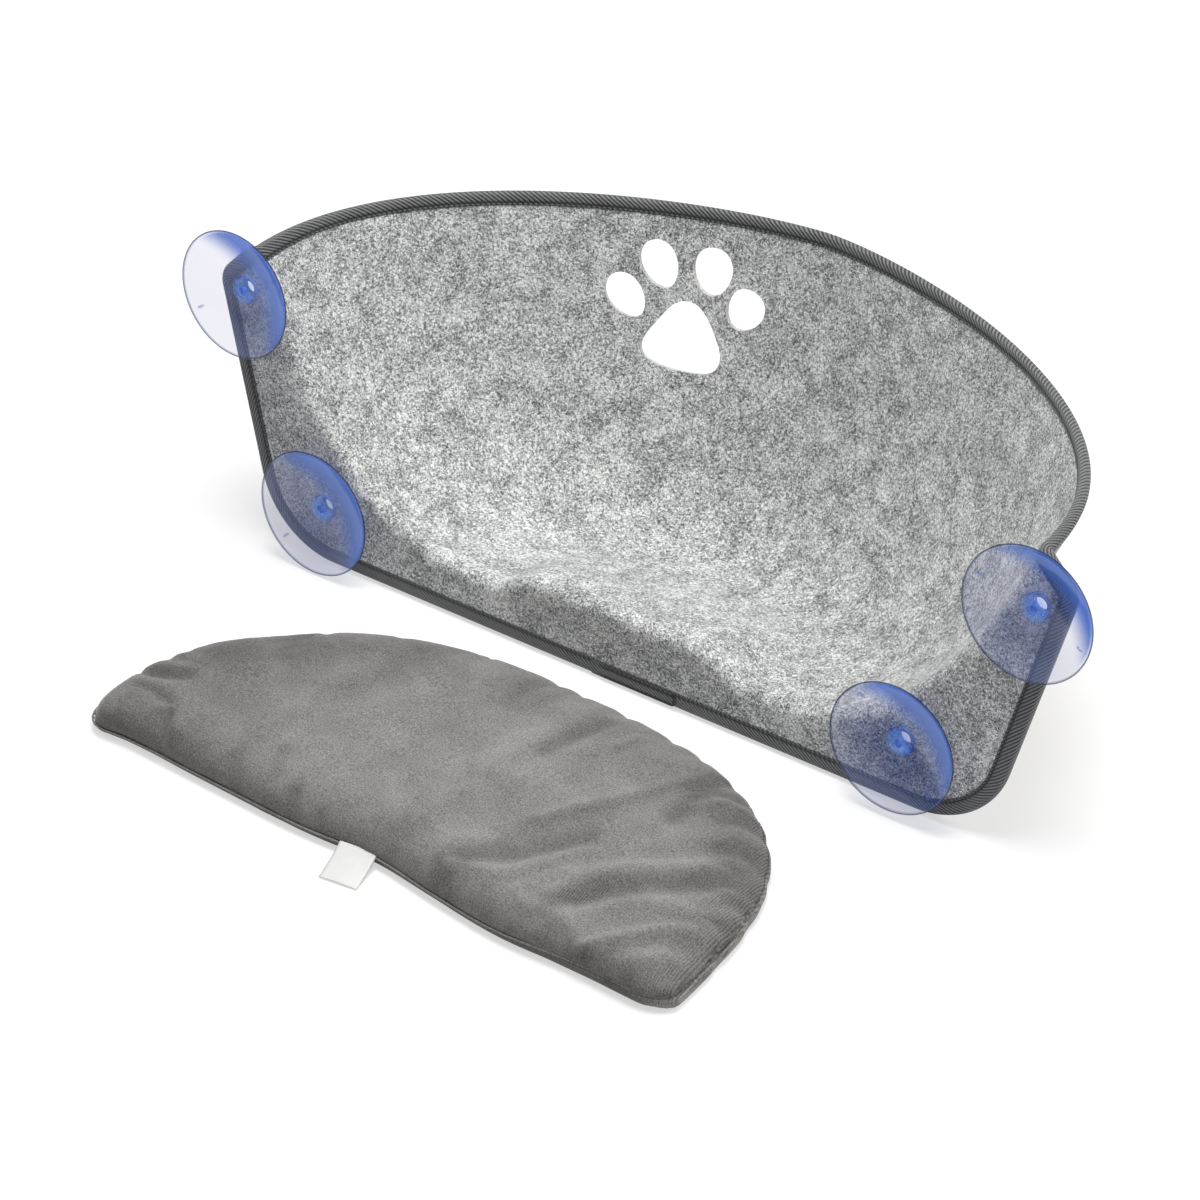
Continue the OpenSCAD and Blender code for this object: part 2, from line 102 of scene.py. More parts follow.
def border(i0, i1, j0, j1):  # once round a grid, from its first corner
    return [(i, j0) for i in range(i0, i1)] + [(i1, j) for j in range(j0, j1)] \
        + [(i, j1) for i in range(i1, i0, -1)] + [(i0, j) for j in range(j1, j0, -1)]


def placeMesh(name, mesh, body):
    piece = bpy.data.objects.new(name, mesh)
    scene.collection.objects.link(piece)
    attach(piece, body)
    return piece


def addValues(mesh, **values):  # one number a point, read by the materials
    for name, given in values.items():
        mesh.attributes.new(name, "FLOAT", "POINT").data.foreach_set("value", given)


def addMesh(name, points, faces, materials, body):
    mesh = bpy.data.meshes.new(name)
    mesh.from_pydata([tuple(p) for p in points], [], [tuple(int(k) for k in f) for f in faces])
    for material in materials:
        mesh.materials.append(material)
    mesh.shade_smooth()
    return placeMesh(name, mesh, body)


def faceOutwards(piece, sharpAngle=None):
    work = bmesh.new()
    work.from_mesh(piece.data)
    bmesh.ops.recalc_face_normals(work, faces=work.faces)
    print(piece.name, "made:", len(work.faces), "faces, open edges:", sum(not e.is_manifold for e in work.edges),
          "volume in mm3:", round(work.calc_volume() * 1e9))
    work.to_mesh(piece.data)
    work.free()
    if sharpAngle:
        piece.data.set_sharp_from_angle(angle=math.radians(sharpAngle))


def applyModifiers(piece):  # a mesh of its own with the modifiers in it
    return bpy.data.meshes.new_from_object(piece.evaluated_get(bpy.context.evaluated_depsgraph_get()))


def pointsOf(mesh):
    co = np.zeros(len(mesh.vertices) * 3)
    mesh.vertices.foreach_get("co", co)
    return co.reshape(-1, 3)


def movePoints(mesh, points):
    mesh.vertices.foreach_set("co", points.ravel())
    mesh.update()


def colour(code):  # sRGB hex to linear
    parts = [int(code[i:i + 2], 16) / 255 for i in (1, 3, 5)]
    return [p / 12.92 if p <= 0.04045 else ((p + 0.055) / 1.055) ** 2.4 for p in parts] + [1]


def addNode(tree, kind, inputs=None, out=0, **settings):  # a node with its settings, values and links: one output
    node = tree.nodes.new(kind)
    for name, value in settings.items():
        setattr(node, name, value)
    for name, value in (inputs or {}).items():
        if isinstance(value, bpy.types.NodeSocket):
            tree.links.new(value, node.inputs[name])
        else:
            node.inputs[name].default_value = value
    return node.outputs[out] if node.outputs else None


def maths(tree, how, *values, clamp=False):
    return addNode(tree, "ShaderNodeMath", dict(enumerate(values)), operation=how, use_clamp=clamp)


def ranged(tree, value, start, end, low=0.0, high=1.0):
    return addNode(tree, "ShaderNodeMapRange", {0: value, 1: start, 2: end, 3: low, 4: high})


def noise(tree, place, scale, detail, **more):
    return addNode(tree, "ShaderNodeTexNoise", {"Vector": place, "Scale": scale, "Detail": detail, **more})


def painted(tree, name):  # a number that the mesh carries at each point
    return addNode(tree, "ShaderNodeAttribute", out="Fac", attribute_name=name)


def blend(tree, share, *ends):  # two colours, each a hex code or a socket
    first, second = (colour(end) if isinstance(end, str) else end for end in ends)
    return addNode(tree, "ShaderNodeMix", {0: share, 6: first, 7: second}, out=2, data_type="RGBA")


def startMaterial(name, **values):  # a Principled material with plain values on its own sockets
    material = bpy.data.materials.new(name)
    material.use_nodes = True
    tree = material.node_tree
    for socket, value in values.items():
        tree.nodes["Principled BSDF"].inputs[socket.replace("_", " ")].default_value = value
    return material, tree


def inMetres(tree):  # places on the object, in its own metres
    return addNode(tree, "ShaderNodeTexCoord", out="Object")


def dressed(material, base, height=None, strength=0.0, distance=0.0):  # the material with its colour and relief
    tree = material.node_tree
    shader = tree.nodes["Principled BSDF"]
    tree.links.new(base, shader.inputs["Base Color"])
    if height is not None:
        bump = addNode(tree, "ShaderNodeBump", {"Height": height, "Strength": strength, "Distance": distance})
        tree.links.new(bump, shader.inputs["Normal"])
    return material


# Needle-punched polyester felt, moulded warm: dark and light fibres curl over each other in a matt mat, so
# it reads as fine salt and pepper with soft darker clouds, and has no gloss
def needleFelt(name, dark, middle, light, contrast):
    material, tree = startMaterial(name, Roughness=0.95, Specular_IOR_Level=0.12, Sheen_Weight=0.12,
                                   Sheen_Roughness=0.6)
    place = inMetres(tree)

    def curls(scale, offset, width):  # thin lines where a bent noise crosses its middle: fibres lying in loops
        moved = addNode(tree, "ShaderNodeVectorMath", {0: place, 1: offset}, operation="ADD")
        field = noise(tree, moved, scale, 1, Roughness=0.5, Distortion=1.6)
        away = maths(tree, "ABSOLUTE", maths(tree, "SUBTRACT", field, 0.5))
        return ranged(tree, away, 0, width, 1, 0)

    # a fibre is 0.03 mm thick: drawn here as tufts 2 to 3 mm long and 1 mm wide, so that they show
    darkCurls = curls(430, (0.31, 0.17, 0.53), 0.06)
    lightCurls = curls(480, (0.77, 0.41, 0.09), 0.07)
    tufts = noise(tree, place, 640, 2, Roughness=0.6, Distortion=0.8)
    clouds = noise(tree, place, 62, 3, Roughness=0.6, Distortion=0.7)  # 15 mm patches
    drift = ranged(tree, clouds, 0.3, 0.7, 0.34, 0.66)
    level = maths(tree, "ADD", ranged(tree, tufts, 0.34, 0.66, -0.28, 0.28), drift)
    level = maths(tree, "MULTIPLY_ADD", lightCurls, 0.42, level)
    level = maths(tree, "MULTIPLY_ADD", darkCurls, -0.55, level)
    level = maths(tree, "SUBTRACT", level, 0.5)
    level = maths(tree, "MULTIPLY_ADD", level, contrast, 0.5, clamp=True)
    mixed = blend(tree, ranged(tree, level, 0, 0.5), dark, middle)
    mixed = blend(tree, ranged(tree, level, 0.5, 1), mixed, light)
    return dressed(material, mixed, level, 0.6, 0.0005)


heatherFelt = needleFelt("needleFeltHeather", "#505355", "#afb1b0", "#f8f8f7", 1.35)
creamFelt = needleFelt("needleFeltCreamBacking", "#8d8678", "#cbc4b5", "#f1ece1", 0.8)
cutFelt = needleFelt("needleFeltDieCutEdge", "#8d8f8b", "#c2c3c0", "#f4f4f2", 0.8)


# Polyester twill binding, woven: steep ribs across the tape catch the light and the valleys between them stay
# nearly black, painted as light and dark stripes; along the seam the tape is pressed flat and dark, which is dark
# thread with painted shade in its groove, and a painted shadow runs along the lap's edge
def twillTape():
    material, tree = startMaterial("polyesterTwillBinding", Roughness=0.6, Specular_IOR_Level=0.35,
                                   Sheen_Weight=0.2, Sheen_Roughness=0.4)
    place = inMetres(tree)
    weave = addNode(tree, "ShaderNodeUVMap", uv_map="tapeWeave")  # rib pitches along, millimetres across
    parts = addNode(tree, "ShaderNodeSeparateXYZ", {0: weave}).node.outputs
    # real ribs are about 1 mm apart: drawn 2 mm apart, 30 degrees to the tape, so that they show
    phase = maths(tree, "MULTIPLY_ADD", parts[1], 1 / 2.25, parts[0])
    ribs = maths(tree, "SINE", maths(tree, "MULTIPLY", phase, 2 * math.pi))
    ribs = ranged(tree, ribs, -0.9, 0.7)
    grain = noise(tree, place, 1300, 2)  # yarn, 0.8 mm
    worn = noise(tree, place, 45, 3)
    level = maths(tree, "ADD", ribs, ranged(tree, grain, 0.3, 0.7, -0.2, 0.2), clamp=True)
    yarn = blend(tree, level, "#0e0f10", "#767778")
    yarn = blend(tree, ranged(tree, worn, 0.35, 0.75, 0, 0.18), yarn, "#7a7b7a")
    # painted shade: the seam strip, its groove and the lap's edge are darkened, together with the seam's dark thread
    yarn = blend(tree, painted(tree, "pressed"), yarn, "#141516")
    return dressed(material, yarn, maths(tree, "MULTIPLY_ADD", grain, 0.25, ribs), 0.8, 0.0005)


twill = twillTape()


# Spun polyester sewing thread: two plies twisted, slightly shiny
def sewingThread(name, code):
    material, tree = startMaterial(name, Roughness=0.45, Specular_IOR_Level=0.5)
    plies = noise(tree, inMetres(tree), 1800, 1)
    # painted shade: the thread is darker in the valleys between its plies
    plyShade = [c * 0.55 for c in colour(code)[:3]] + [1]
    return dressed(material, blend(tree, ranged(tree, plies, 0.3, 0.7), plyShade, code))


tapeThread = sewingThread("darkSewingThread", "#232425")
seamThread = sewingThread("greySewingThread", "#454341")


# Soft PVC, injection moulded: clear with a wet gloss; it scatters blue light, so it looks pale against white,
# hazy blue against the felt and strong blue where one looks along the wall or through the thick middle
def softPvc():
    material, tree = startMaterial("softPvcBlueTint", Roughness=0.08, IOR=1.45, Specular_IOR_Level=0.4)
    thick, lip = painted(tree, "thickness"), painted(tree, "lip")
    facing = addNode(tree, "ShaderNodeLayerWeight", {"Blend": 0.5}, out="Facing")
    grazing = addNode(tree, "ShaderNodeMapRange", {0: facing, 1: 0.32, 2: 0.57}, interpolation_type="SMOOTHSTEP")
    depth = maths(tree, "MAXIMUM", grazing, thick)
    scattered = blend(tree, depth, "#0a2650", "#4a74bc")
    scattered = blend(tree, ranged(tree, thick, 0.16, 0.34, 0, 0.42), scattered, "#5b93da")  # the boss is sky blue
    # painted shade: the lip is painted dark grey-blue and lets less through, for the dark outline that the clear edge
    # shows
    scattered = blend(tree, lip, scattered, "#141c30")
    passed = blend(tree, lip, blend(tree, depth, "#edecec", "#5f6f9c"), "#8a8d9c")
    clear = addNode(tree, "ShaderNodeBsdfTransparent", {"Color": passed})
    shine = tree.nodes["Principled BSDF"].outputs[0]
    both = addNode(tree, "ShaderNodeAddShader", {0: clear, 1: shine})
    tree.links.new(both, tree.nodes["Material Output"].inputs[0])
    return dressed(material, scattered)


pvc = softPvc()


# Cotton velour: cut pile on a fine knit, soft grey, speckled where single tufts turn to the light; where the
# pile is pressed at the sewn edge the wales of the knit show as fine ribs
def velour(name, dark, light):
    material, tree = startMaterial(name, Roughness=0.9, Specular_IOR_Level=0.1, Sheen_Weight=0.3,
                                   Sheen_Roughness=0.45)
    place = inMetres(tree)
    # tufts are 0.4 mm apart: drawn 1 mm apart, so that they show
    pile = noise(tree, place, 1000, 1.5, Roughness=0.7)
    brushed = noise(tree, place, 30, 3, Distortion=0.6)
    wales = addNode(tree, "ShaderNodeTexWave", {"Vector": place, "Scale": 210, "Distortion": 0.5, "Detail": 1,
                                                "Detail Scale": 3}, out="Fac", wave_type="BANDS")  # 1.5 mm apart
    rib = maths(tree, "MULTIPLY", maths(tree, "SUBTRACT", wales, 0.5), painted(tree, "flattened"))
    level = maths(tree, "ADD", ranged(tree, pile, 0.3, 0.7, 0.08, 0.92), ranged(tree, brushed, 0.3, 0.7, -0.14, 0.14))
    level = maths(tree, "MULTIPLY_ADD", rib, 0.6, level, clamp=True)
    # painted sheen and shade: the colour is scaled by a value the mesh carries, darker on slopes that face the straight
    # edge
    shade = ranged(tree, painted(tree, "nap"), 0, 1, 0.5, 1.3)
    mixed = addNode(tree, "ShaderNodeVectorMath", {0: blend(tree, level, dark, light), "Scale": shade},
                    operation="SCALE")
    return dressed(material, mixed, maths(tree, "MULTIPLY_ADD", rib, 0.9, pile), 0.5, 0.0004)


greyVelour = velour("cottonVelourGrey", "#575553", "#999693")
greyLining = velour("brushedCottonLining", "#4b4a48", "#84827e")


# Polyester satin ribbon, woven and folded once: smooth white with fine cross ribs
def satinRibbon():
    material, tree = startMaterial("polyesterSatinWhite", Roughness=0.4, Specular_IOR_Level=0.45, Sheen_Weight=0.2)
    place = inMetres(tree)
    picks = addNode(tree, "ShaderNodeTexWave", {"Vector": place, "Scale": 620, "Distortion": 0.4},
                    out="Fac", wave_type="BANDS", bands_direction="Y")  # a pick every 0.5 mm
    level = maths(tree, "MULTIPLY", picks, noise(tree, place, 160, 2))
    return dressed(material, blend(tree, level, "#d4d4d1", "#e8e8e6"), picks, 0.2, 0.0001)


ribbon = satinRibbon()
print("materials made")

# Felt shell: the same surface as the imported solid, with the bend, the rim and the cut edges drawn finely
felt = {
    "half": 284, "depth": 214, "rimFront": 199, "rimBack": 219, "floor": 32, "fall": 18, "thick": 5, "bend": 8,
    "roundX": 1.56, "roundY": 2.08, "floorShare": 0.22, "crownHeight": 15, "crownHalf": 60, "crownSlope": 35,
    "crownReach": 95, "earReach": 27, "earDrop": 23, "cornerInset": 18, "cornerRadius": 60, "earRadius": 14,
    "holeRadius": 4.8, "holePoints": 40, "columns": 240, "rows": 84, "bendRows": 6, "crowd": 1.7, "edgeStep": 2.5,
    "sharp": 50,
}
half, bend, thick = felt["half"], felt["bend"], felt["thick"]
run = felt["depth"] - bend
probe = half / 2500


def rimY(x):
    return bend + run * np.maximum(1 - (np.abs(x) / half) ** felt["roundX"], 0) ** (1 / felt["roundY"])


def floorZ(x, y):
    back = (y - bend) / run
    crown = felt["crownHeight"] * fade((np.abs(x) - felt["crownHalf"]) / felt["crownSlope"]) \
        * fade((y - bend) / felt["crownReach"])
    return felt["floor"] - felt["fall"] * back + crown


def bowlZ(x, y):
    share = (np.abs(x) / half) ** felt["roundX"] + (np.maximum(y - bend, 0) / run) ** felt["roundY"]
    climb = (np.maximum(share - felt["floorShare"], 0) / (1 - felt["floorShare"])) ** 2
    rim = felt["rimFront"] + (felt["rimBack"] - felt["rimFront"]) * (y - bend) / run
    low = floorZ(x, y)
    return low + (rim - low) * climb


def slopes(x, y):
    return ((bowlZ(x + probe, y) - bowlZ(x - probe, y)) / (2 * probe),
            (bowlZ(x, y + probe) - bowlZ(x, y - probe)) / (2 * probe))


def intoFelt(x, y):  # the way from the front face into the felt
    sx, sy = slopes(x, y)
    return unit(np.stack([sx, sy, -np.ones_like(sx)], -1))


cols, rows, bendRows = felt["columns"], felt["rows"], felt["bendRows"]
colX = -half * np.cos(np.pi * np.arange(cols + 1) / cols)
crease = np.stack([colX, 0 * colX, bowlZ(colX, bend + 0 * colX)], -1)
creaseSlope = slopes(colX, bend + 0 * colX)[0]
creaseUp = unit(np.stack([-creaseSlope, 0 * colX, 1 + 0 * colX], -1))


def bendPoint(i, a):
    return crease[i] + creaseUp[i] * bend * (math.sin(a) - 1) + np.array([0, bend * (1 - math.cos(a)), 0])


def bendWay(i, a):
    return np.array([0, math.cos(a), 0]) - creaseUp[i] * math.sin(a)


front = np.zeros((cols + 1, bendRows + rows + 1, 3))
way = np.zeros_like(front)
everyColumn = np.arange(cols + 1)
for j in range(bendRows + 1):
    a = math.pi / 2 * j / bendRows
    front[:, j], way[:, j] = bendPoint(everyColumn, a), bendWay(everyColumn, a)
for k in range(1, rows + 1):
    y = bend + (rimY(colX) - bend) * (1 - (1 - k / rows) ** felt["crowd"])
    front[:, bendRows + k] = np.stack([colX, y, bowlZ(colX, y)], -1)
    way[:, bendRows + k] = intoFelt(colX, y)

# The soft unevenness of a moulded sheet, none at the rim and the flange: lengths in millimetres
ripple = {"high": 0.7, "fromBend": 40, "fromRim": 9}


def wave(p):
    x, y, z = p[..., 0], p[..., 1], p[..., 2]
    inside = np.clip((y - bend) / ripple["fromBend"], 0, 1) * np.clip((rimY(x) - y) / ripple["fromRim"], 0, 1)
    return ripple["high"] * inside * (
        np.sin(x / 17 + 0.9 * np.sin(z / 23)) * 0.45 + np.sin(y / 13 + x / 41 + 1.3) * 0.5
        + np.sin(x / 9.1 - z / 15 + 2.1) * 0.25 + np.sin(z / 11 + y / 29) * 0.4)


# Outline of the flange: straight runs between rounded corners, the left half mirrored
def roundCorner(a, b, c, radius, steps):
    u, v = unit(a - b), unit(c - b)
    halfAngle = math.acos(np.clip(u @ v, -1, 1)) / 2
    middle = b + unit(u + v) * radius / math.sin(halfAngle)
    start, end = b + u * radius / math.tan(halfAngle), b + v * radius / math.tan(halfAngle)
    return [middle + unit(start * (1 - t) + end * t - middle) * radius for t in np.linspace(0, 1, steps)]


lowCorner = np.array([half - felt["cornerInset"], 0, 0])
earCorner = np.array([half + felt["earReach"], 0, felt["rimFront"] - felt["earDrop"]])
earEnd = front[cols, 0]
halfOutline = [np.zeros(3)] + roundCorner(np.zeros(3), lowCorner, earCorner, felt["cornerRadius"], 40) \
    + roundCorner(lowCorner, earCorner, earEnd, felt["earRadius"], 20) + [earEnd]
rightEdge = resample(halfOutline, felt["edgeStep"])
flangeEdge = np.vstack([(rightEdge * [-1, 1, 1])[::-1], rightEdge[1:]])  # left ear end, lower edge, right ear end

# Paw cut-out: outlines in the plane that lies on the back wall; a toe is its place, width, height and turn
paw = {
    "x": -85, "z": 158, "padHeight": 46, "padWidth": 54, "toeHeight": 32, "toeWidth": 24, "egg": 0.13,
    "toes": [(-0.72, -0.05, 0.95, 0.98, 42), (-0.36, 0.46, 1, 1, 28), (0.29, 0.48, 1.08, 0.97, 4),
             (0.73, 0.03, 1.04, 0.86, -28)],
    "pad": [(0.05, 0.02), (0.17, -0.02), (0.29, -0.16), (0.4, -0.38), (0.5, -0.62), (0.51, -0.8), (0.41, -0.94),
            (0.24, -0.98), (0.02, -0.98), (-0.2, -0.95), (-0.4, -0.88), (-0.49, -0.74), (-0.45, -0.56),
            (-0.31, -0.32), (-0.2, -0.13), (-0.08, -0.01)],
    "toePoints": 72, "padStep": 1.3, "patchHalf": (64, 50), "patchDeep": 60, "patchFrom": 90, "patchDrop": 2,
    "clear": 1.1,
}
low, high = bend, rimY(np.float64(paw["x"]))
for _ in range(30):  # where the back wall is as high as the paw
    middle = (low + high) / 2
    low, high = (middle, high) if bowlZ(paw["x"], middle) < paw["z"] else (low, middle)
pawCentre = np.array([paw["x"], low, paw["z"]])
pawWay = intoFelt(np.float64(paw["x"]), np.float64(low))
pawRight = unit(np.array([pawWay[1], -pawWay[0], 0]))
pawUp = np.cross(pawRight, pawWay)


def toeOutline(x, z, w, h, turn):
    a = np.linspace(0, 2 * np.pi, paw["toePoints"], endpoint=False)
    u = paw["toeWidth"] * w / 2 * np.cos(a) * (1 + paw["egg"] * np.sin(a))
    v = paw["toeHeight"] * h / 2 * np.sin(a)
    t = math.radians(turn)
    return np.stack([x * paw["padWidth"] + u * math.cos(t) - v * math.sin(t),
                     z * paw["padHeight"] + u * math.sin(t) + v * math.cos(t)], -1)


def softened(points, times):  # corner cutting
    for _ in range(times):
        after = np.roll(points, -1, axis=0)
        points = np.stack([points * 0.75 + after * 0.25, points * 0.25 + after * 0.75], 1).reshape(-1, 2)
    return points


padOutline = softened(np.array(paw["pad"]) * [paw["padWidth"], paw["padHeight"]], 3)
pawOutlines = [toeOutline(*toe) for toe in paw["toes"]] + [resample(padOutline, paw["padStep"], closed=True)]


def insideLoop(points, loop):  # even-odd test of points against a closed loop
    a, b = loop, np.roll(loop, -1, axis=0)
    x, y = points[:, None, 0], points[:, None, 1]
    spans = (a[:, 1] > y) != (b[:, 1] > y)
    with np.errstate(divide="ignore", invalid="ignore"):
        cross = a[:, 0] + (y - a[:, 1]) * (b[:, 0] - a[:, 0]) / (b[:, 1] - a[:, 1])
    return (spans & (x < cross)).sum(1) % 2 == 1


def nearest(points, others):
    return np.linalg.norm(points[:, None] - others[None], axis=-1).min(1)


def triangulate(points, loop, holes):  # triangles between an outer loop of point numbers and the holes in it
    edges = [(ring[k], ring[(k + 1) % len(ring)]) for ring in [loop] + holes for k in range(len(ring))]
    made = delaunay_2d_cdt([Vector((float(p[0]), float(p[1]))) for p in points],
                           [(int(a), int(b)) for a, b in edges], [], 0, 1e-7)
    number = [k[0] if k else -1 for k in made[3]]
    tris = np.array([tuple(f) for f in made[2]])
    centres = np.array([tuple(v) for v in made[0]])[tris].mean(1)
    keep = insideLoop(centres, points[loop])
    for hole in holes:
        keep &= ~insideLoop(centres, points[hole])
    return [[number[v] for v in t] for t in tris[keep] if min(number[v] for v in t) >= 0]


# Every point of the front face with its way into the felt, then its faces
skinPoints, skinWays, skinFaces = list(front.reshape(-1, 3)), list(way.reshape(-1, 3)), []


def addSkin(points, ways):  # more points of the front face, and their numbers
    skinPoints.extend(points)
    skinWays.extend(ways)
    return list(range(len(skinPoints) - len(points), len(skinPoints)))


number = np.arange(front.shape[0] * front.shape[1]).reshape(front.shape[:2]).copy()
number[[0, cols], bendRows + 1:] = number[[0, cols], bendRows][:, None]
offset = front - pawCentre
gridU, gridV, gridDeep = offset @ pawRight, offset @ pawUp, offset @ pawWay
near = (np.abs(gridU) < paw["patchHalf"][0]) & (np.abs(gridV + paw["patchDrop"]) < paw["patchHalf"][1]) \
    & (np.abs(gridDeep) < paw["patchDeep"]) & (front[..., 1] > paw["patchFrom"])
iNear, jNear = np.nonzero(near)
i0, i1, j0, j1 = iNear.min(), iNear.max(), jNear.min(), jNear.max()
for i in range(cols):
    for j in range(bendRows + rows):
        if i0 <= i < i1 and j0 <= j < j1:  # the patch with the paw is triangulated below
            continue
        quad = [number[i, j], number[i, j + 1], number[i + 1, j + 1], number[i + 1, j]]
        quad = [q for k, q in enumerate(quad) if q != quad[k - 1]]
        if len(quad) > 2:
            skinFaces.append(quad)

patchEdge = border(i0, i1, j0, j1)
patch = patchEdge + [(i, j) for i in range(i0 + 1, i1) for j in range(j0 + 1, j1)]
flat = np.array([(gridU[i, j], gridV[i, j]) for i, j in patch])
clear = nearest(flat, np.vstack(pawOutlines)) > paw["clear"]
for outline in pawOutlines:
    clear &= ~insideLoop(flat, outline)
keep = [k for k in range(len(flat)) if k < len(patchEdge) or clear[k]]
flat, numbers = flat[keep], [number[patch[k]] for k in keep]
holes = []
for outline in pawOutlines:
    base = pawCentre + outline[:, :1] * pawRight + outline[:, 1:] * pawUp
    along = np.zeros(len(outline))
    for _ in range(25):  # slide each point along the paw's axis until it meets the front face
        p = base + along[:, None] * pawWay
        sx, sy = slopes(p[:, 0], p[:, 1])
        along -= (bowlZ(p[:, 0], p[:, 1]) - p[:, 2]) / (sx * pawWay[0] + sy * pawWay[1] - pawWay[2])
    p = base + along[:, None] * pawWay
    holes.append(list(range(len(numbers), len(numbers) + len(outline))))
    numbers += addSkin(p, intoFelt(p[:, 0], p[:, 1]))
    flat = np.vstack([flat, outline])
skinFaces += [[numbers[v] for v in t] for t in triangulate(flat, list(range(len(patchEdge))), holes)]

# The flange is flat, with four round holes, and filled with a lattice of points
flange = {"x": (-312, 312, 8), "z": (4, 215, 7), "shift": 4, "clearEdge": 3, "clearHole": 2}
holePlaces = {name: fromTable(hinges[name + "_turn"]["pos_m"]) for name in perch["cupNames"]}
straight = np.array([0, 1.0, 0])
numbers = [number[0, 0]] + addSkin(flangeEdge[1:-1], [straight] * (len(flangeEdge) - 2)) \
    + [number[i, 0] for i in range(cols, 0, -1)]
flat = np.array([skinPoints[n][[0, 2]] for n in numbers])
loop = list(range(len(flat)))
lattice = np.array([(x + flange["shift"] * (r % 2), z) for r, z in enumerate(np.arange(*flange["z"]))
                    for x in np.arange(*flange["x"])])
lattice = lattice[insideLoop(lattice, flat)]
lattice = lattice[nearest(lattice, flat) > flange["clearEdge"]]
a = np.linspace(0, 2 * np.pi, felt["holePoints"], endpoint=False)
circle = felt["holeRadius"] * np.stack([np.cos(a), np.sin(a)], -1)
rings = [place[[0, 2]] + circle for place in holePlaces.values()]
for place in holePlaces.values():
    lattice = lattice[np.linalg.norm(lattice - place[[0, 2]], axis=1) > felt["holeRadius"] + flange["clearHole"]]
holes = [list(range(len(flat) + k * len(a), len(flat) + (k + 1) * len(a))) for k in range(len(rings))]
for group in rings + [lattice]:
    numbers += addSkin(np.insert(group, 1, 0, axis=1).astype(float), [straight] * len(group))
    flat = np.vstack([flat, group])
skinFaces += [[numbers[v] for v in t] for t in triangulate(flat, loop, holes)]

used = sorted({n for f in skinFaces for n in f})
renumber = {n: k for k, n in enumerate(used)}
skinFaces = [[renumber[n] for n in f] for f in skinFaces]
points, ways = np.array([skinPoints[n] for n in used]), np.array([skinWays[n] for n in used])
points = points - ways * wave(points)[:, None]
count = len(points)
sides = {}
for f in skinFaces:
    for k in range(len(f)):
        a, b = f[k], f[(k + 1) % len(f)]
        key = (min(a, b), max(a, b))
        sides[key] = None if key in sides else (a, b)
walls = [[a, b, b + count, a + count] for a, b in (s for s in sides.values() if s)]
backFaces = [[n + count for n in reversed(f)] for f in skinFaces]
shell = addMesh("feltShell", toTable(np.vstack([points, points + thick * ways])), skinFaces + backFaces + walls,
                [heatherFelt, creamFelt, cutFelt], "perch")
shell.data.polygons.foreach_set("material_index", [0] * len(skinFaces) + [1] * len(backFaces) + [2] * len(walls))
faceOutwards(shell, felt["sharp"])
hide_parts("felt_shell")

# Edge tape: folded round the felt's edge, along the rim, through the bends and round the flange
tape = {
    "width": 9.5, "rimWidth": 7.4, "rightRimWidth": 5.4, "gap": 0.06, "skin": 1.05, "step": 1.6, "keepOff": 12,
    "ribPitch": 3.4, "rimSlant": 0.19, "seamFromEdge": 1.7, "stitch": (2.3, 0.6, 0.4), "stitchPitch": 3.4,
    "stitchLift": 0.42, "bendSteps": 10, "rimFrom": (4, 60), "rightFrom": (60, 120), "foldReach": 3.4,
}


def section(p, n, travel=None, inward=None):
    if inward is None:
        inward = np.cross(n, travel)
    return p + n * thick / 2, n, unit(inward)


rightAngle = [math.pi / 2 * k / tape["bendSteps"] for k in range(tape["bendSteps"] + 1)]
rimLine, rimWay = front[:, -1], way[:, -1]
sections = [section(rimLine[i], rimWay[i], rimLine[i + 1] - rimLine[i - 1]) for i in range(1, cols)]
sections += [section(bendPoint(cols, a), bendWay(cols, a), inward=(-creaseUp[cols, 2], 0, creaseUp[cols, 0]))
             for a in reversed(rightAngle)]
lower = flangeEdge[::-1]
for k in range(1, len(lower) - 1):
    if min(np.linalg.norm(lower[k] - lower[0]), np.linalg.norm(lower[k] - lower[-1])) > tape["keepOff"]:
        sections.append(section(lower[k], straight, lower[k + 1] - lower[k - 1]))
sections += [section(bendPoint(0, a), bendWay(0, a), inward=(creaseUp[0, 2], 0, -creaseUp[0, 0])) for a in rightAngle]
line = np.array([np.concatenate(s) for s in sections])
lap = {"from": -14, "to": 50, "rise": 0.85, "steps": 80, "rows": 14, "cover": 40, "drop": 0.6, "corner": 0.8,
       "seamIn": 1.7, "seamDeep": 0.6, "seamWide": 0.5, "dive": 10, "stitchPitch": 3.0, "stops": (10, 24, 40, 56),
       "stitchLift": 0.3, "weaveFrom": 11.5}
start = int(np.argmin(np.linalg.norm(line[:, :3] - [lap["from"] + lap["cover"], thick / 2, 0], axis=1)))
line = np.roll(line, -start, axis=0)
pitches = round(travelled(np.vstack([line, line[:1]]))[-1] / tape["ribPitch"])
line = resample(line, tape["step"], closed=True)
ringCount = len(line)


def smoothed(values, width):  # running mean round the closed loop
    offsets = np.arange(-width, width + 1)
    weights = bell(offsets, width / 2)
    return sum(w * np.roll(values, o, axis=0) for o, w in zip(offsets, weights)) / weights.sum()


def across(v, *axes):  # the part of v at right angles to each axis
    for part in [(v * axis).sum(1, keepdims=True) * axis for axis in axes]:
        v = v - part
    return unit(v)


tapeMid = smoothed(line[:, :3], 1)
travel = unit(np.roll(tapeMid, -1, axis=0) - np.roll(tapeMid, 1, axis=0))
tapeWay = across(smoothed(line[:, 3:6], 3), travel)
tapeIn = across(smoothed(line[:, 6:], 3), travel, tapeWay)
hold = thick / 2 + tape["gap"]
w, skin, seam = tape["width"], tape["skin"], tape["width"] - tape["seamFromEdge"]
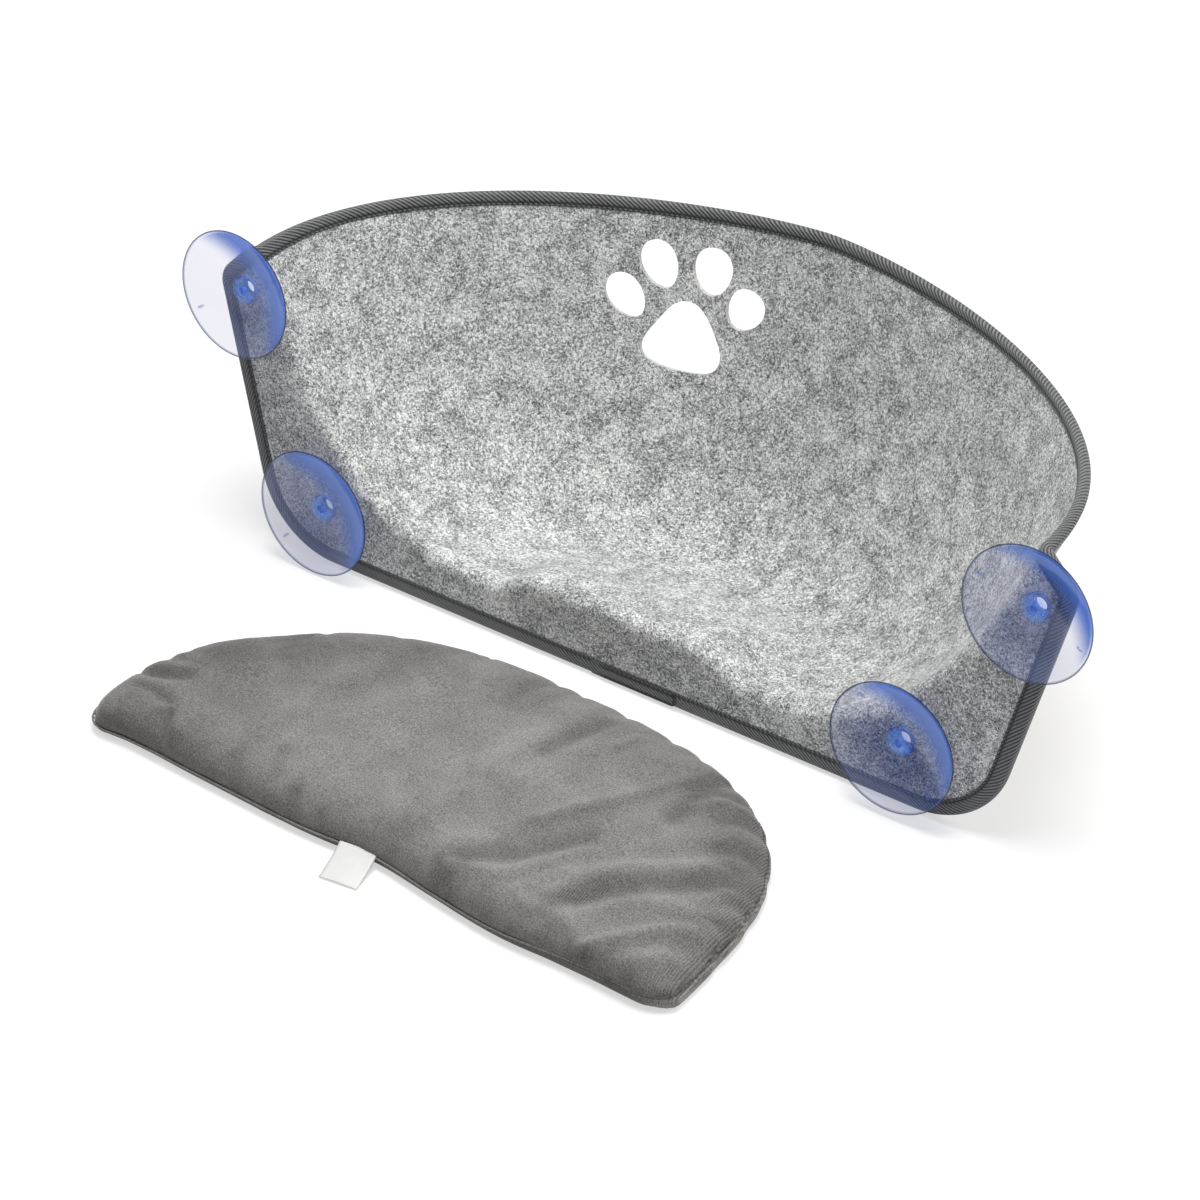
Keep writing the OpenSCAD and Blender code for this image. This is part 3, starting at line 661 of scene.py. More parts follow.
# the front half of the fold from the cut edge to the outer fold: in from the felt's edge, out from its middle
profile = [(w, -hold), (w + 0.12, -hold - 0.35), (w - 0.3, -hold - 0.62), (w - 0.9, -hold - 0.66),
           (seam + 0.55, -hold - 0.6), (seam, -hold - 0.28), (seam - 0.55, -hold - 0.66), (seam - 1.5, -hold - skin),
           (seam - 3.2, -hold - skin - 0.05), (2.4, -hold - skin), (1.0, -hold - skin * 0.92),
           (0.1, -hold - skin * 0.62), (-0.6, -hold + 0.25), (-1.05, -hold + 1.2), (-1.2, -0.7)]
profile = np.array(profile + [(a, -b) for a, b in reversed(profile)] + [(-0.2, hold), (-0.2, -hold)])
# how dark the tape is painted across its profile: painted shade in the seam's groove and along the folded edges, with
# the seam's dark thread
pressedAt = [0.55, 0.5, 0.35, 0.3, 0.6, 1.0, 0.5, 0.1, 0, 0, 0, 0, 0, 0, 0]
pressedAt = pressedAt + pressedAt[::-1] + [0, 0]
sides = len(profile)
# on the rim less of the tape is folded to the front, least on the right
onRim = 1 - fade((tapeMid[:, 1] - tape["rimFrom"][0]) / tape["rimFrom"][1])
onRight = np.clip((tapeMid[:, 0] - tape["rightFrom"][0]) / tape["rightFrom"][1], 0, 1)
frontCut = onRim * (w - tape["rimWidth"] + (tape["rimWidth"] - tape["rightRimWidth"]) * onRight)
reach = profile[:, 0] - (profile[:, 1] < 0) * frontCut[:, None] * np.clip(profile[:, 0] / (w - tape["foldReach"]), 0, 1)
rings = tapeMid[:, None] + tapeIn[:, None] * reach[..., None] + tapeWay[:, None] * profile[None, :, 1:]
faces = ringFaces(ringCount, sides, closed=True)
along = np.arange(ringCount + 1) / ringCount * pitches  # in rib pitches along the tape, in millimetres across it
steep = tape["rimSlant"] * np.append(onRim, onRim[0])  # round the rim the ribs lie steeper
wide = np.append(travelled(profile), travelled(profile)[-1])
quadCorners = ((0, 0), (0, 1), (1, 1), (1, 0))
weave = [(along[r + dr] - steep[r + dr] * wide[k + dk], wide[k + dk])
         for r in range(ringCount) for k in range(sides) for dr, dk in quadCorners]

# The tape's end lies over its beginning, with a rounded corner, on the window side of the lower edge
base, stride = ringCount * sides, lap["steps"] + 1
r, k = np.mgrid[0:lap["rows"] + 1, 0:stride]
z = w * (0.5 - 0.5 * np.cos(math.pi * r / lap["rows"]))
farEnd = lap["to"] - w / 2 + np.sqrt(np.maximum((w / 2) ** 2 - (z - w / 2) ** 2, 0))
x = lap["from"] + (farEnd - lap["from"]) * k / lap["steps"]
edge = np.minimum(np.minimum(farEnd - x, z), w - z)
grow = np.minimum((x - lap["from"]) / lap["dive"], 1)  # the far end dives under the tape
rise = grow * (lap["rise"] * (1 - (1 - np.minimum(edge / lap["corner"], 1)) ** 2)
               - lap["seamDeep"] * bell(edge - lap["seamIn"], lap["seamWide"]))
lapPoints = np.stack([x, -tape["gap"] - skin * 0.8 - rise, z - lap["drop"]], -1).reshape(-1, 3)
# the lap's seam line is painted dark, and a painted shadow runs along the lap's edge
lapPressedShade = list((grow * np.maximum(bell(edge - lap["seamIn"], 1.0), 0.9 * bell(edge, 0.7))).ravel())
for r in range(lap["rows"]):
    for k in range(lap["steps"]):
        quad = [base + (r + dr) * stride + k + dk for dr, dk in quadCorners]
        faces.append(quad)
        weave += [(-lapPoints[q - base][0] / tape["ribPitch"], lap["weaveFrom"] - lapPoints[q - base][2]) for q in quad]
lapEdge = [r * stride + k for k, r in border(0, lap["steps"], 0, lap["rows"])]
backStart, lapRound = base + len(lapPoints), len(lapEdge)
lapBack = [(lapPoints[q][0], -tape["gap"] - skin * 0.3, lapPoints[q][2]) for q in lapEdge]
for k in range(lapRound):
    after = (k + 1) % lapRound
    faces.append((base + lapEdge[after], base + lapEdge[k], backStart + k, backStart + after))
faces.append([backStart + k for k in reversed(range(lapRound))])
weave += [(0, 0)] * (5 * lapRound)  # the hidden sides and back of the lap
binding = addMesh("edgeBinding", toTable(np.vstack([rings.reshape(-1, 3), lapPoints, lapBack])), faces, [twill],
                  "perch")
addValues(binding.data, pressed=pressedAt * ringCount + lapPressedShade + [0.6] * lapRound)
binding.data.uv_layers.new(name="tapeWeave").data.foreach_set("uv", np.array(weave, float).ravel())
faceOutwards(binding)
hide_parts("edge_tape")


# Stitches by Geometry Nodes: a slim grain of thread on every point, turned along the seam and flat on the cloth
def stitchTree():
    tree = bpy.data.node_groups.new("stitchRow", "GeometryNodeTree")
    face = tree.interface
    face.new_socket("Geometry", in_out="INPUT", socket_type="NodeSocketGeometry")
    for name, value in (("Length", 0.0023), ("Width", 0.0006), ("Height", 0.0004)):
        face.new_socket(name, in_out="INPUT", socket_type="NodeSocketFloat").default_value = value
    face.new_socket("Thread", in_out="INPUT", socket_type="NodeSocketMaterial")
    face.new_socket("Geometry", in_out="OUTPUT", socket_type="NodeSocketGeometry")
    given = addNode(tree, "NodeGroupInput").node.outputs
    size = addNode(tree, "ShaderNodeCombineXYZ", {0: given["Length"], 1: given["Width"], 2: given["Height"]})
    grain = addNode(tree, "GeometryNodeMeshUVSphere", {"Segments": 6, "Rings": 5, "Radius": 0.5}, out="Mesh")
    grain = addNode(tree, "GeometryNodeTransform", {"Geometry": grain, "Scale": size})
    along, outward = (addNode(tree, "GeometryNodeInputNamedAttribute", {"Name": name},
                              data_type="FLOAT_VECTOR") for name in ("along", "outward"))
    turn = addNode(tree, "FunctionNodeAlignRotationToVector", {"Vector": along}, axis="X")
    turn = addNode(tree, "FunctionNodeAlignRotationToVector", {"Rotation": turn, "Vector": outward}, axis="Z",
                   pivot_axis="X")
    made = addNode(tree, "GeometryNodeInstanceOnPoints", {"Points": given["Geometry"], "Instance": grain,
                                                          "Rotation": turn})
    made = addNode(tree, "GeometryNodeRealizeInstances", {"Geometry": made})
    made = addNode(tree, "GeometryNodeSetShadeSmooth", {"Geometry": made})
    made = addNode(tree, "GeometryNodeSetMaterial", {"Geometry": made, "Material": given["Thread"]})
    addNode(tree, "NodeGroupOutput", {"Geometry": made})
    return tree


stitchNodes = stitchTree()


def stitchRow(name, points, along, outward, size, thread, body):  # places in metres, the thread's in millimetres
    mesh = bpy.data.meshes.new(name + "Points")
    mesh.from_pydata([tuple(p) for p in points], [], [])
    for label, vectors in (("along", along), ("outward", outward)):
        mesh.attributes.new(label, "FLOAT_VECTOR", "POINT").data.foreach_set("vector", np.asarray(vectors).ravel())
    holder = bpy.data.objects.new(name + "Points", mesh)
    scene.collection.objects.link(holder)
    modifier = holder.modifiers.new("stitches", "NODES")
    modifier.node_group = stitchNodes
    inputs = {item.name: item.identifier for item in stitchNodes.interface.items_tree if item.in_out == "INPUT"}
    for label, value in zip(("Length", "Width", "Height"), size):
        modifier[inputs[label]] = value / 1000
    modifier[inputs["Thread"]] = thread
    made = applyModifiers(holder)
    bpy.data.objects.remove(holder)
    made.name = name
    print(name, "made:", len(points), "stitches")
    return placeMesh(name, made, body)


jump = tape["stitchPitch"] / tape["step"]
picks = (np.arange(0, ringCount, jump) + 0.5).astype(int) % ringCount
spots, runs, outs = [], [], []
for side, inward in ((-1, (seam - frontCut[picks])[:, None]), (1, seam)):
    lift = side * (hold + tape["stitchLift"])
    spots.append(toTable(tapeMid[picks] + tapeIn[picks] * inward + tapeWay[picks] * lift))
    runs.append(travel[picks] @ leanTurn)
    outs.append(side * tapeWay[picks] @ leanTurn)
lapMid, lapIn = w / 2 - lap["drop"], w / 2 - lap["seamIn"]
lapStops = [lap["from"] + d for d in lap["stops"]]
turnX = lap["to"] - w / 2
lapLoop = [(x, lapMid - lapIn) for x in lapStops] \
    + [(turnX + lapIn * math.sin(a), lapMid - lapIn * math.cos(a)) for a in np.linspace(0.2, 2.9, 9)] \
    + [(x, lapMid + lapIn) for x in reversed(lapStops)]
lapLine = resample(lapLoop, lap["stitchPitch"])
spots.append(toTable(np.insert(lapLine, 1, -tape["gap"] - skin * 0.8 - lap["rise"] + lap["stitchLift"], axis=1)))
runs.append(np.insert(unit(np.gradient(lapLine, axis=0)), 1, 0, axis=1) @ leanTurn)
outs.append(np.array([-straight] * len(lapLine)) @ leanTurn)
stitchRow("bindingStitches", np.vstack(spots), np.vstack(runs), np.vstack(outs), tape["stitch"], tapeThread,
          "perch")

# Suction cups: one turned moulding each, with two small flow marks near the lip
cup = {
    "radius": 42.5, "lip": 1.5, "deep": 8, "edge": 1.2, "middle": 2.6, "standOff": 14, "boss": 8, "neck": 4.75,
    "head": 7.5, "headThick": 5.5, "play": 0.3, "dimple": 2.25, "dimpleDeep": 3, "hollow": 2.2, "segments": 128,
    "dishSteps": 34, "dishFrom": 4.8, "bossTint": 0.34, "bossFade": (7.5, 9.5), "lipFade": (41.7, 42.1), "sharp": 55,
    "marks": {"top_left_cup": (212, 30), "top_right_cup": (159, -17), "low_left_cup": (226, 46),
              "low_right_cup": (132, -42)},
    "markPlace": 35, "markHalf": (2.4, 0.9), "markPoints": 16, "markTint": 0.15,
    "markRings": ((1, 0.15), (0.85, -0.25), (0.5, -0.42), (0.02, -0.48)),
}


def hollow(t):
    return cup["deep"] * (1 - t ** cup["hollow"])


innerRadius = cup["radius"] - cup["lip"]
t = np.linspace(0, 1, cup["dishSteps"])
dish = [(cup["dimple"] + (innerRadius - cup["dimple"]) * a, hollow(a)) for a in t[1:]]
skin = [(cup["boss"] + (innerRadius - cup["boss"]) * a,
         hollow(a) + cup["edge"] + (cup["middle"] - cup["edge"]) * (1 - a)) for a in t[::-1]]
bossEnd, seat = cup["standOff"] - cup["play"], cup["standOff"] + thick + cup["play"]
deep, bottom, foot = cup["deep"], cup["deep"] + cup["dimpleDeep"], skin[-1][1]
# radius and height of the section, from the dimple round the lip to the boss, the neck and the head's top
turned = [(0.001, bottom), (1.5, bottom - 0.1), (2.1, bottom - 0.6), (cup["dimple"], deep + 0.3), (2.45, deep - 0.5),
          (2.9, deep - 0.9), (3.4, deep - 0.9), (4.0, deep - 0.35)]
turned += [p for p in dish if p[0] > cup["dishFrom"]]
turned += [(41.6, 0.0), (42.2, 0.02), (42.5, 0.2), (42.5, 0.55), (42.3, 0.8)] + skin[:-1]
turned += [(8.9, foot + 0.15), (8.2, foot + 0.7), (cup["boss"], foot + 1.3), (cup["boss"], bossEnd - 0.5),
           (7.7, bossEnd - 0.1), (7.2, bossEnd), (5.2, bossEnd), (cup["neck"], bossEnd + 0.3),
           (cup["neck"], seat - 0.2), (5.1, seat), (7.1, seat), (cup["head"], seat + 0.3)]
turned += [(r, seat + cup["headThick"] * share) for r, share in (
    (cup["head"], 0.3), (7.3, 0.5), (6.7, 0.7), (5.6, 0.88), (4.2, 0.97), (2.2, 1), (0.001, 1))]
turned = np.array(turned)


def cupMesh(name):
    n, m = cup["segments"], len(turned)
    a = 2 * np.pi * np.arange(n) / n
    place = holePlaces[name] * [1, 0, 1]
    rings = np.stack([turned[:, None, 0] * np.cos(a), np.repeat(turned[:, 1:] - cup["standOff"], n, 1),
                      turned[:, None, 0] * np.sin(a)], -1)
    points = list((rings + place).reshape(-1, 3))
    tint = list(np.repeat(np.interp(turned[:, 0], cup["bossFade"], [cup["bossTint"], 0.0]), n))
    # where the lip's painted shade applies
    lipShadeAt = np.repeat(np.interp(turned[:, 0], cup["lipFade"], [0, 1]), n)
    faces = ringFaces(m, n) + [tuple(range(n)), tuple(reversed(range((m - 1) * n, m * n)))]
    size, r = cup["markPoints"], cup["markPlace"]
    height = hollow((r - cup["dimple"]) / (innerRadius - cup["dimple"])) - cup["standOff"]
    slope = -cup["deep"] * cup["hollow"] * (r / innerRadius) ** (cup["hollow"] - 1) / innerRadius
    for mark in cup["marks"][name]:  # a low oval of plastic on the hollow side
        turn, start = math.radians(mark), len(points)
        out, side = np.array([math.cos(turn), 0, math.sin(turn)]), np.array([-math.sin(turn), 0, math.cos(turn)])
        for share, lift in cup["markRings"]:
            for b in 2 * math.pi * np.arange(size) / size:
                u, v = cup["markHalf"][0] * share * math.cos(b), cup["markHalf"][1] * share * math.sin(b)
                points.append(place + out * r + out * u + side * v + np.array([0, height + slope * u + lift, 0]))
        tint += [cup["markTint"]] * (len(points) - start)
        faces += ringFaces(len(cup["markRings"]), size, start)
        faces += [tuple(reversed(range(start, start + size))), tuple(range(len(points) - size, len(points)))]
    piece = addMesh(name.title().replace("_", ""), toTable(points), faces, [pvc], name)
    addValues(piece.data, thickness=tint, lip=np.append(lipShadeAt, [0] * (len(points) - n * m)))
    faceOutwards(piece, cup["sharp"])
    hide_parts(name)


for name in perch["cupNames"]:
    cupMesh(name)

# Cushion: two panels sewn round a D shape and filled, blown up as cloth, then seamed and creased
cushion = {
    "length": 450, "width": 186, "corner": 14, "cornerLong": 27, "leftPower": 2, "rightPower": 3.1,
    "place": (-25, -220.02), "turn": -2.3, "seam": 5.6, "rightSeam": 9.5, "rightFrom": (60, 140), "height": 23.5,
    "roll": 24, "underRoll": 5, "flatter": 7, "blunt": 1.35, "bluntMore": 0.9, "shrink": 3, "voxel": 4.2,
    "step": 3.2, "rings": [0, 0.02, 0.05, 0.12, 0.22, 0.36, 0.52, 0.7, 0.86, 0.97], "seamDepth": 1.8,
    # the straight edge sags inward in its middle and bulges at the left end and right of the middle
    "slack": [(5, 5, 38), (104, -2.8, 36), (-212, -2.4, 17)], "slackReach": 45,
    # the seam draws in at each tuck, and a short crease runs inward from it: place and depth
    "ticks": [(-203, 42, 2.6), (-203, 60, 2.2), (-198, 72, 1.6), (-137, 132, 1.6), (-96, 152, 0.9), (-46, 166, 1.8),
              (1, 170, 1.4), (18, 171, 1.6), (52, 175, 1.8), (89, 174, 2.2), (115, 173, 1.6), (145, 165, 2.0),
              (168, 155, 1.4), (187, 142, 1.8), (205, 118, 1.5), (216, 84, 2.0), (221, 50, 1.8)],
    "tickWide": 4.5, "tickLong": 20, "tickBehind": 15, "foldGain": 1.2,
    # soft folds: their course in x and y, height, and half widths on the left and the right; a minus is a valley
    "folds": [
        ((78, 70, 100, 102, 138, 162), 1.5, 6, 4.5), ((56, 18, 78, 72, 100, 102), 1.3, 14, 9),
        ((60, 20, 85, 38, 112, 73), -2.0, 9, 6), ((86, 22, 98, 45, 115, 66), 1.0, 5, 6),
        ((104, 18, 110, 34, 118, 46), 1.0, 4, 5), ((124, 28, 131, 50, 145, 64, 165, 80, 181, 92), 2.8, 8, 10),
        ((128, 20, 150, 43, 175, 66, 192, 82, 199, 93, 216, 92), -1.7, 10, 6),
        ((150, 28, 160, 45, 172, 55, 188, 58, 206, 56, 217, 60), 1.3, 6, 8),
        ((161, 2, 178, 20, 195, 38, 208, 48, 222, 50), 3.0, 5.5, 8), ((186, 4, 198, 16, 213, 25), 1.4, 6, 7),
        ((22, 35, 25, 100, 33, 128, 42, 166), 1.8, 13, 9), ((43, 118, 50, 140, 59, 162), -1.6, 6, 6),
        ((76, 148, 82, 164, 89, 175), 0.9, 4, 4), ((139, 161, 143, 140, 141, 116), -1.8, 7, 7),
        ((145, 132, 157, 146, 169, 152), 1.3, 5, 5), ((141, 150, 150, 150, 161, 154), -1.0, 4, 4),
        ((167, 131, 183, 147), -1.4, 6, 5), ((178, 110, 202, 126), -1.2, 6, 6),
        ((146, 88, 155, 106, 178, 116), 1.3, 9, 10), ((203, 86, 217, 90), 1.2, 4, 4),
        ((-112, 26, -106, 75, -104, 104), 1.1, 10, 9), ((-205, 43, -196, 46, -184, 51), -2.2, 5, 5),
        ((-205, 29, -192, 29, -176, 26), -1.3, 4, 4), ((-169, 18, -163, 6, -158, -4), -3.6, 4.2, 4.2),
        ((-178, 18, -166, 19, -156, 8), 1.2, 5, 4), ((-61, 11, -56, 2, -48, -5), -2.2, 5, 4),
        ((-38, 8, -32, -3), -1.2, 4, 4), ((-88, 32, -79, 13), -1.1, 5, 4), ((-108, 12, -100, 2), -0.9, 5, 5),
        ((51, 12, 58, 2), -1.6, 4, 4), ((63, 7, 69, -5), -1.8, 4, 4), ((156, 2, 161, -9), -1.8, 3.5, 3.5),
        ((166, 1, 174, -9), -2.4, 4, 3.5), ((197, 3, 201, -9), -1.5, 4, 3.5),
        ((112, 13, 131, 17, 151, 12, 159, 4), 1.4, 6, 5), ((58, 13, 76, 21), 1.2, 6, 5),
        ((-7, 168, -5, 142), -1.2, 7, 7), ((-80, 150, -78, 118), -0.9, 12, 10),
        ((-183, 72, -172, 92), -1.0, 10, 10), ((209, 61, 224, 66), -1.0, 3.5, 3.5),
        ((-150, 120, -146, 98), -0.9, 10, 8)],
}
halfLength, cornerR = cushion["length"] / 2, cushion["corner"]


def curvePoint(a):
    c, d = math.cos(a), math.sin(a)
    power = 2 / (cushion["leftPower"] if c < 0 else cushion["rightPower"])
    return (halfLength * math.copysign(abs(c) ** power, c), cornerR + (cushion["width"] - cornerR) * d ** power)


outline = [curvePoint(a) for a in np.linspace(0, math.pi, 161)[1:-1]]
outline += [(-halfLength + cornerR + cornerR * math.cos(a), cornerR + cornerR * math.sin(a))
            for a in np.linspace(math.pi, 1.5 * math.pi, 12)]
outline += [(halfLength - cushion["cornerLong"] * (1 - math.cos(a)), cornerR + cornerR * math.sin(a))
            for a in np.linspace(1.5 * math.pi, 2 * math.pi, 12)]
outline = resample(outline, cushion["step"], closed=True)
middle = np.array([0, cushion["width"] * 0.42])


def rising(x, start, length):  # 0 to 1 in a soft step from its start
    return 1 - fade((x - start) / length)


def seamAt(p):  # the seam lies low along the front and rises at the right end
    return cushion["seam"] + (cushion["rightSeam"] - cushion["seam"]) * rising(p[:, 0], *cushion["rightFrom"])


def ringOf(share, upper):
    reach = np.linalg.norm(outline - middle, axis=1)
    d = share * reach * 0.999
    place = middle + unit(outline - middle) * (reach - d - cushion["shrink"])[:, None]
    seam = seamAt(place)
    roll, under = (np.sqrt(np.maximum(1 - (1 - np.minimum(d / cushion[name], 1)) ** 2, 0))
                   for name in ("roll", "underRoll"))
    z = seam + (cushion["height"] - seam - cushion["flatter"]) * roll if upper else seam * (1 - under)
    return np.column_stack([place, z])


stack = [ringOf(share, False) for share in reversed(cushion["rings"][1:])] \
    + [ringOf(share, True) for share in cushion["rings"]]
n, last = len(outline), len(outline) * (len(stack) - 1)
padPoints = np.vstack(stack + [[[*middle, 0]], [[*middle, cushion["height"] - cushion["flatter"]]]])
padFaces = ringFaces(len(stack), n) + [(last + n, (i + 1) % n, i) for i in range(n)] \
    + [(last + n + 1, last + i, last + (i + 1) % n) for i in range(n)]
pad = addMesh("cushionPad", padPoints / 1000, padFaces, [greyVelour, greyLining], "cushion")
bpy.context.view_layer.objects.active = pad
remesh = pad.modifiers.new("even", "REMESH")
remesh.mode, remesh.voxel_size = "VOXEL", cushion["voxel"] / 1000

# Filling: the even mesh is blown up as cloth; its points may move as far as the cap
filling = {"pressure": 4, "frames": 20, "cap": 9, "quality": 6, "mass": 0.15, "tension": 12, "compression": 4,
           "bending": 0.3}
cloth = pad.modifiers.new("filling", "CLOTH")
settings = cloth.settings
settings.quality, settings.mass = filling["quality"], filling["mass"]
settings.tension_stiffness, settings.compression_stiffness = filling["tension"], filling["compression"]
settings.bending_stiffness = filling["bending"]
settings.use_pressure, settings.uniform_pressure_force = True, filling["pressure"]
settings.effector_weights.gravity = 0
cloth.point_cache.frame_start, cloth.point_cache.frame_end = 1, filling["frames"]
for number in range(1, filling["frames"] + 1):
    scene.frame_set(number)
    if number == 1:
        rest = pointsOf(applyModifiers(pad)) * 1000
padMesh = applyModifiers(pad)
blown = pointsOf(padMesh) * 1000
move = blown - rest
far = np.linalg.norm(move, axis=1, keepdims=True)
blown = rest + move * np.minimum(1, filling["cap"] / np.maximum(far, 1e-9))
print("cushion filled, largest move", round(float(far.max()), 1), "mm")
scene.frame_set(1)
pad.modifiers.clear()
pad.data = padMesh


def nearestOn(p, a, b):  # the share of the way from a to b that is nearest to each point, and how far it is
    ab = b - a
    share = np.clip(((p - a) @ ab) / (ab @ ab), 0, 1)
    return share, np.linalg.norm(p - a - share[:, None] * ab, axis=1)


def edgeDistance(p):  # distance from the outline, and the place along it
    best, where = np.full(len(p), 1e9), np.zeros(len(p))
    for k, (a, b) in enumerate(zip(outline, np.roll(outline, -1, axis=0))):
        share, d = nearestOn(p, a, b)
        closer = d < best
        best[closer], where[closer] = d[closer], (k + share)[closer]
    return best, where


def foldShape(flat):  # how far the folds rise at each place, and how deep its hollows are
    rise, hollow = np.zeros(len(flat)), np.zeros(len(flat))
    for course, high, leftWide, rightWide in cushion["folds"]:
        best, side = np.full(len(flat), 1e9), np.zeros(len(flat))
        stops = np.reshape(course, (-1, 2)).astype(float)
        for a, b in zip(stops[:-1], stops[1:]):
            _, d = nearestOn(flat, a, b)
            side = np.where(d < best, (flat - a) @ np.array([b[1] - a[1], a[0] - b[0]]), side)
            best = np.minimum(best, d)
        shape = bell(best, np.where(side > 0, rightWide, leftWide))
        rise += high * shape
        hollow += max(-high, 0) * shape
    return rise, hollow


# How the filled form is worked over: the upper panel counts as such from a little above the seam
crease = {
    "upperRise": 6, "rippleFrom": 30, "tuckDrop": 0.6, "tuckPull": 0.8, "tuckReach": 9, "frontDrop": 0.8,
    "frontReach": 24, "underRise": (0.2, 0.9), "underReach": 12, "underPush": 0.8, "grooveHalf": 1.6,
    "grooveReach": 7, "grooveLeft": 0.45, "grooveFrom": (100, 60),
}


def creased(co):
    flat, z = co[:, :2], co[:, 2].copy()
    edge, _ = edgeDistance(flat)
    away, seam = unit(flat - middle), seamAt(flat)
    slack = sum(far * bell(flat[:, 0] - x, wide) for x, far, wide in cushion["slack"])
    flat = flat + np.column_stack([0 * slack, slack * fade(flat[:, 1] / cushion["slackReach"])])
    upper = np.clip((z - seam) / crease["upperRise"], 0, 1)
    dip = np.zeros(len(co))
    for x, y, deep in cushion["ticks"]:
        out = unit(np.array([x, y]) - middle)
        rel = flat - (x, y)
        inward, sideways = -(rel @ out), rel @ np.array([-out[1], out[0]])
        dip += deep * bell(sideways, cushion["tickWide"]) * bell(np.maximum(inward, 0), cushion["tickLong"]) \
            * (inward > -cushion["tickBehind"])
    z += upper * foldShape(flat)[0] * cushion["foldGain"]
    slow = 0.7 * np.sin(flat[:, 0] / 31 + np.sin(flat[:, 1] / 27)) + 0.5 * np.sin(flat[:, 1] / 14 + flat[:, 0] / 47)
    z += upper * slow * np.clip(edge / crease["rippleFrom"], 0, 1)
    z -= upper * dip * crease["tuckDrop"] \
        + crease["frontDrop"] * upper * np.clip(1 - flat[:, 1] / crease["frontReach"], 0, 1)
    low, grow = crease["underRise"]
    below = (z < seam) * np.clip((z - low) / grow, 0, 1) * (edge < crease["underReach"])
    flat = flat + away * (crease["underPush"] * edge * below)[:, None]  # the lower panel stands upright
    flat = flat - away * (dip * bell(edge, crease["tuckReach"]) * crease["tuckPull"])[:, None]
    left = crease["grooveLeft"]  # the seam's groove is shallower there
    depth = cushion["seamDepth"] * (left + (1 - left) * rising(flat[:, 0], *crease["grooveFrom"]))
    groove = depth * bell(z - seam, crease["grooveHalf"]) * bell(edge, crease["grooveReach"])
    return np.column_stack([flat - away * groove[:, None], z])


# The sewn edge keeps its outline: only the heights come from the simulation, and the rest is spread to the seam
sewn = {"freeFrom": (25, 0.4), "freeShare": 0.2, "spread": 14, "fullest": (99.5, 1.1), "lowest": 0.2, "rowReach": 6,
        "leftEnd": (-225, 90), "front": 45}
free = np.clip(edgeDistance(rest[:, :2])[0] / sewn["freeFrom"][0] - sewn["freeFrom"][1], 0, 1)[:, None]
blown[:, :2] = rest[:, :2] + (blown[:, :2] - rest[:, :2]) * sewn["freeShare"] * free
spread = cushion["shrink"] * bell(edgeDistance(blown[:, :2])[0], sewn["spread"])
blown[:, :2] += unit(blown[:, :2] - middle) * spread[:, None]
z, seamHeight = blown[:, 2], seamAt(blown)
fill = np.clip((z - seamHeight) / (np.percentile(z, sewn["fullest"][0]) - seamHeight), 0, sewn["fullest"][1])
# the edge is blunt, most so at the front and the left end
more = np.maximum(1 - rising(blown[:, 0], *sewn["leftEnd"]), fade(blown[:, 1] / sewn["front"]))
blunt = cushion["blunt"] + cushion["bluntMore"] * more
fill = np.where(fill < 1, 1 - np.maximum(1 - fill, 0) ** blunt, fill)
z = np.where(z > seamHeight, seamHeight + fill * (cushion["height"] - seamHeight), np.maximum(z, sewn["lowest"]))
edge, where = edgeDistance(blown[:, :2])
atSeam = (np.abs(z - seamHeight) < cushion["voxel"] / 2) & (edge < sewn["rowReach"])
blown[:, 2] = np.where(atSeam, seamHeight, z)  # one row of points follows the seam exactly
k = np.minimum(where.astype(int), len(outline) - 1)
onLine = outline[k] + (np.roll(outline, -1, axis=0) - outline)[k] * (where - k)[:, None]
blown[:, :2] = np.where(atSeam[:, None], onLine, blown[:, :2])
turn = math.radians(cushion["turn"])
spin = np.array([[math.cos(turn), -math.sin(turn)], [math.sin(turn), math.cos(turn)]])


def padToTable(p):  # the cushion's own millimetres to metres in the scene
    p = np.asarray(p, float)
    return np.column_stack([p[:, :2] @ spin.T + cushion["place"], p[:, 2]]) / 1000


movePoints(padMesh, blown)
faceMiddle = np.array([blown[list(polygon.vertices)].mean(0) for polygon in padMesh.polygons])
padMesh.polygons.foreach_set("material_index", (faceMiddle[:, 2] < seamAt(faceMiddle)).astype(int))
padMesh.shade_smooth()
finer = pad.modifiers.new("finer", "SUBSURF")
finer.levels = finer.render_levels = 1
padMesh = applyModifiers(pad)
pad.modifiers.clear()
pad.data = padMesh
even = pointsOf(padMesh)
formed = creased(even)
movePoints(padMesh, formed)
normals = np.array([v.normal for v in padMesh.vertices])
movePoints(padMesh, padToTable(formed))

# Painted sheen and shade on the velour: the colour is made darker on slopes that face the straight edge, round the
# curved edge, at the left end and in the hollows; the lining is painted in shade at the front and lit at the right end
pile = {"even": 0.66, "slope": 0.72, "slopeWay": (0.6, -0.8, 0), "slopeEnds": (-0.45, 0.42), "curved": 0.48,
        "curvedReach": 38, "curvedFrom": (40, 60), "left": 0.24, "leftFrom": (-60, -120), "hollows": 0.17,
        "liningFront": 0.25, "liningFrom": (194, 24), "liningUnder": 0.3, "darkest": 0.14}
edge = edgeDistance(even[:, :2])[0]
evenX, evenY = even[:, 0], even[:, 1]
fromEdge, toEdge = pile["curvedFrom"]
nap = pile["even"] - pile["slope"] * np.clip(normals @ np.array(pile["slopeWay"]), *pile["slopeEnds"])
nap -= pile["curved"] * (bell(edge, pile["curvedReach"]) * np.clip((evenY - fromEdge) / toEdge, 0, 1))
nap -= pile["left"] * rising(evenX, *pile["leftFrom"]) + pile["hollows"] * foldShape(even[:, :2])[1]
lining = pile["liningFront"] + (1 - pile["liningFront"]) * rising(evenX, *pile["liningFrom"])
nap = np.where(even[:, 2] < seamAt(even) - pile["liningUnder"], lining, nap)
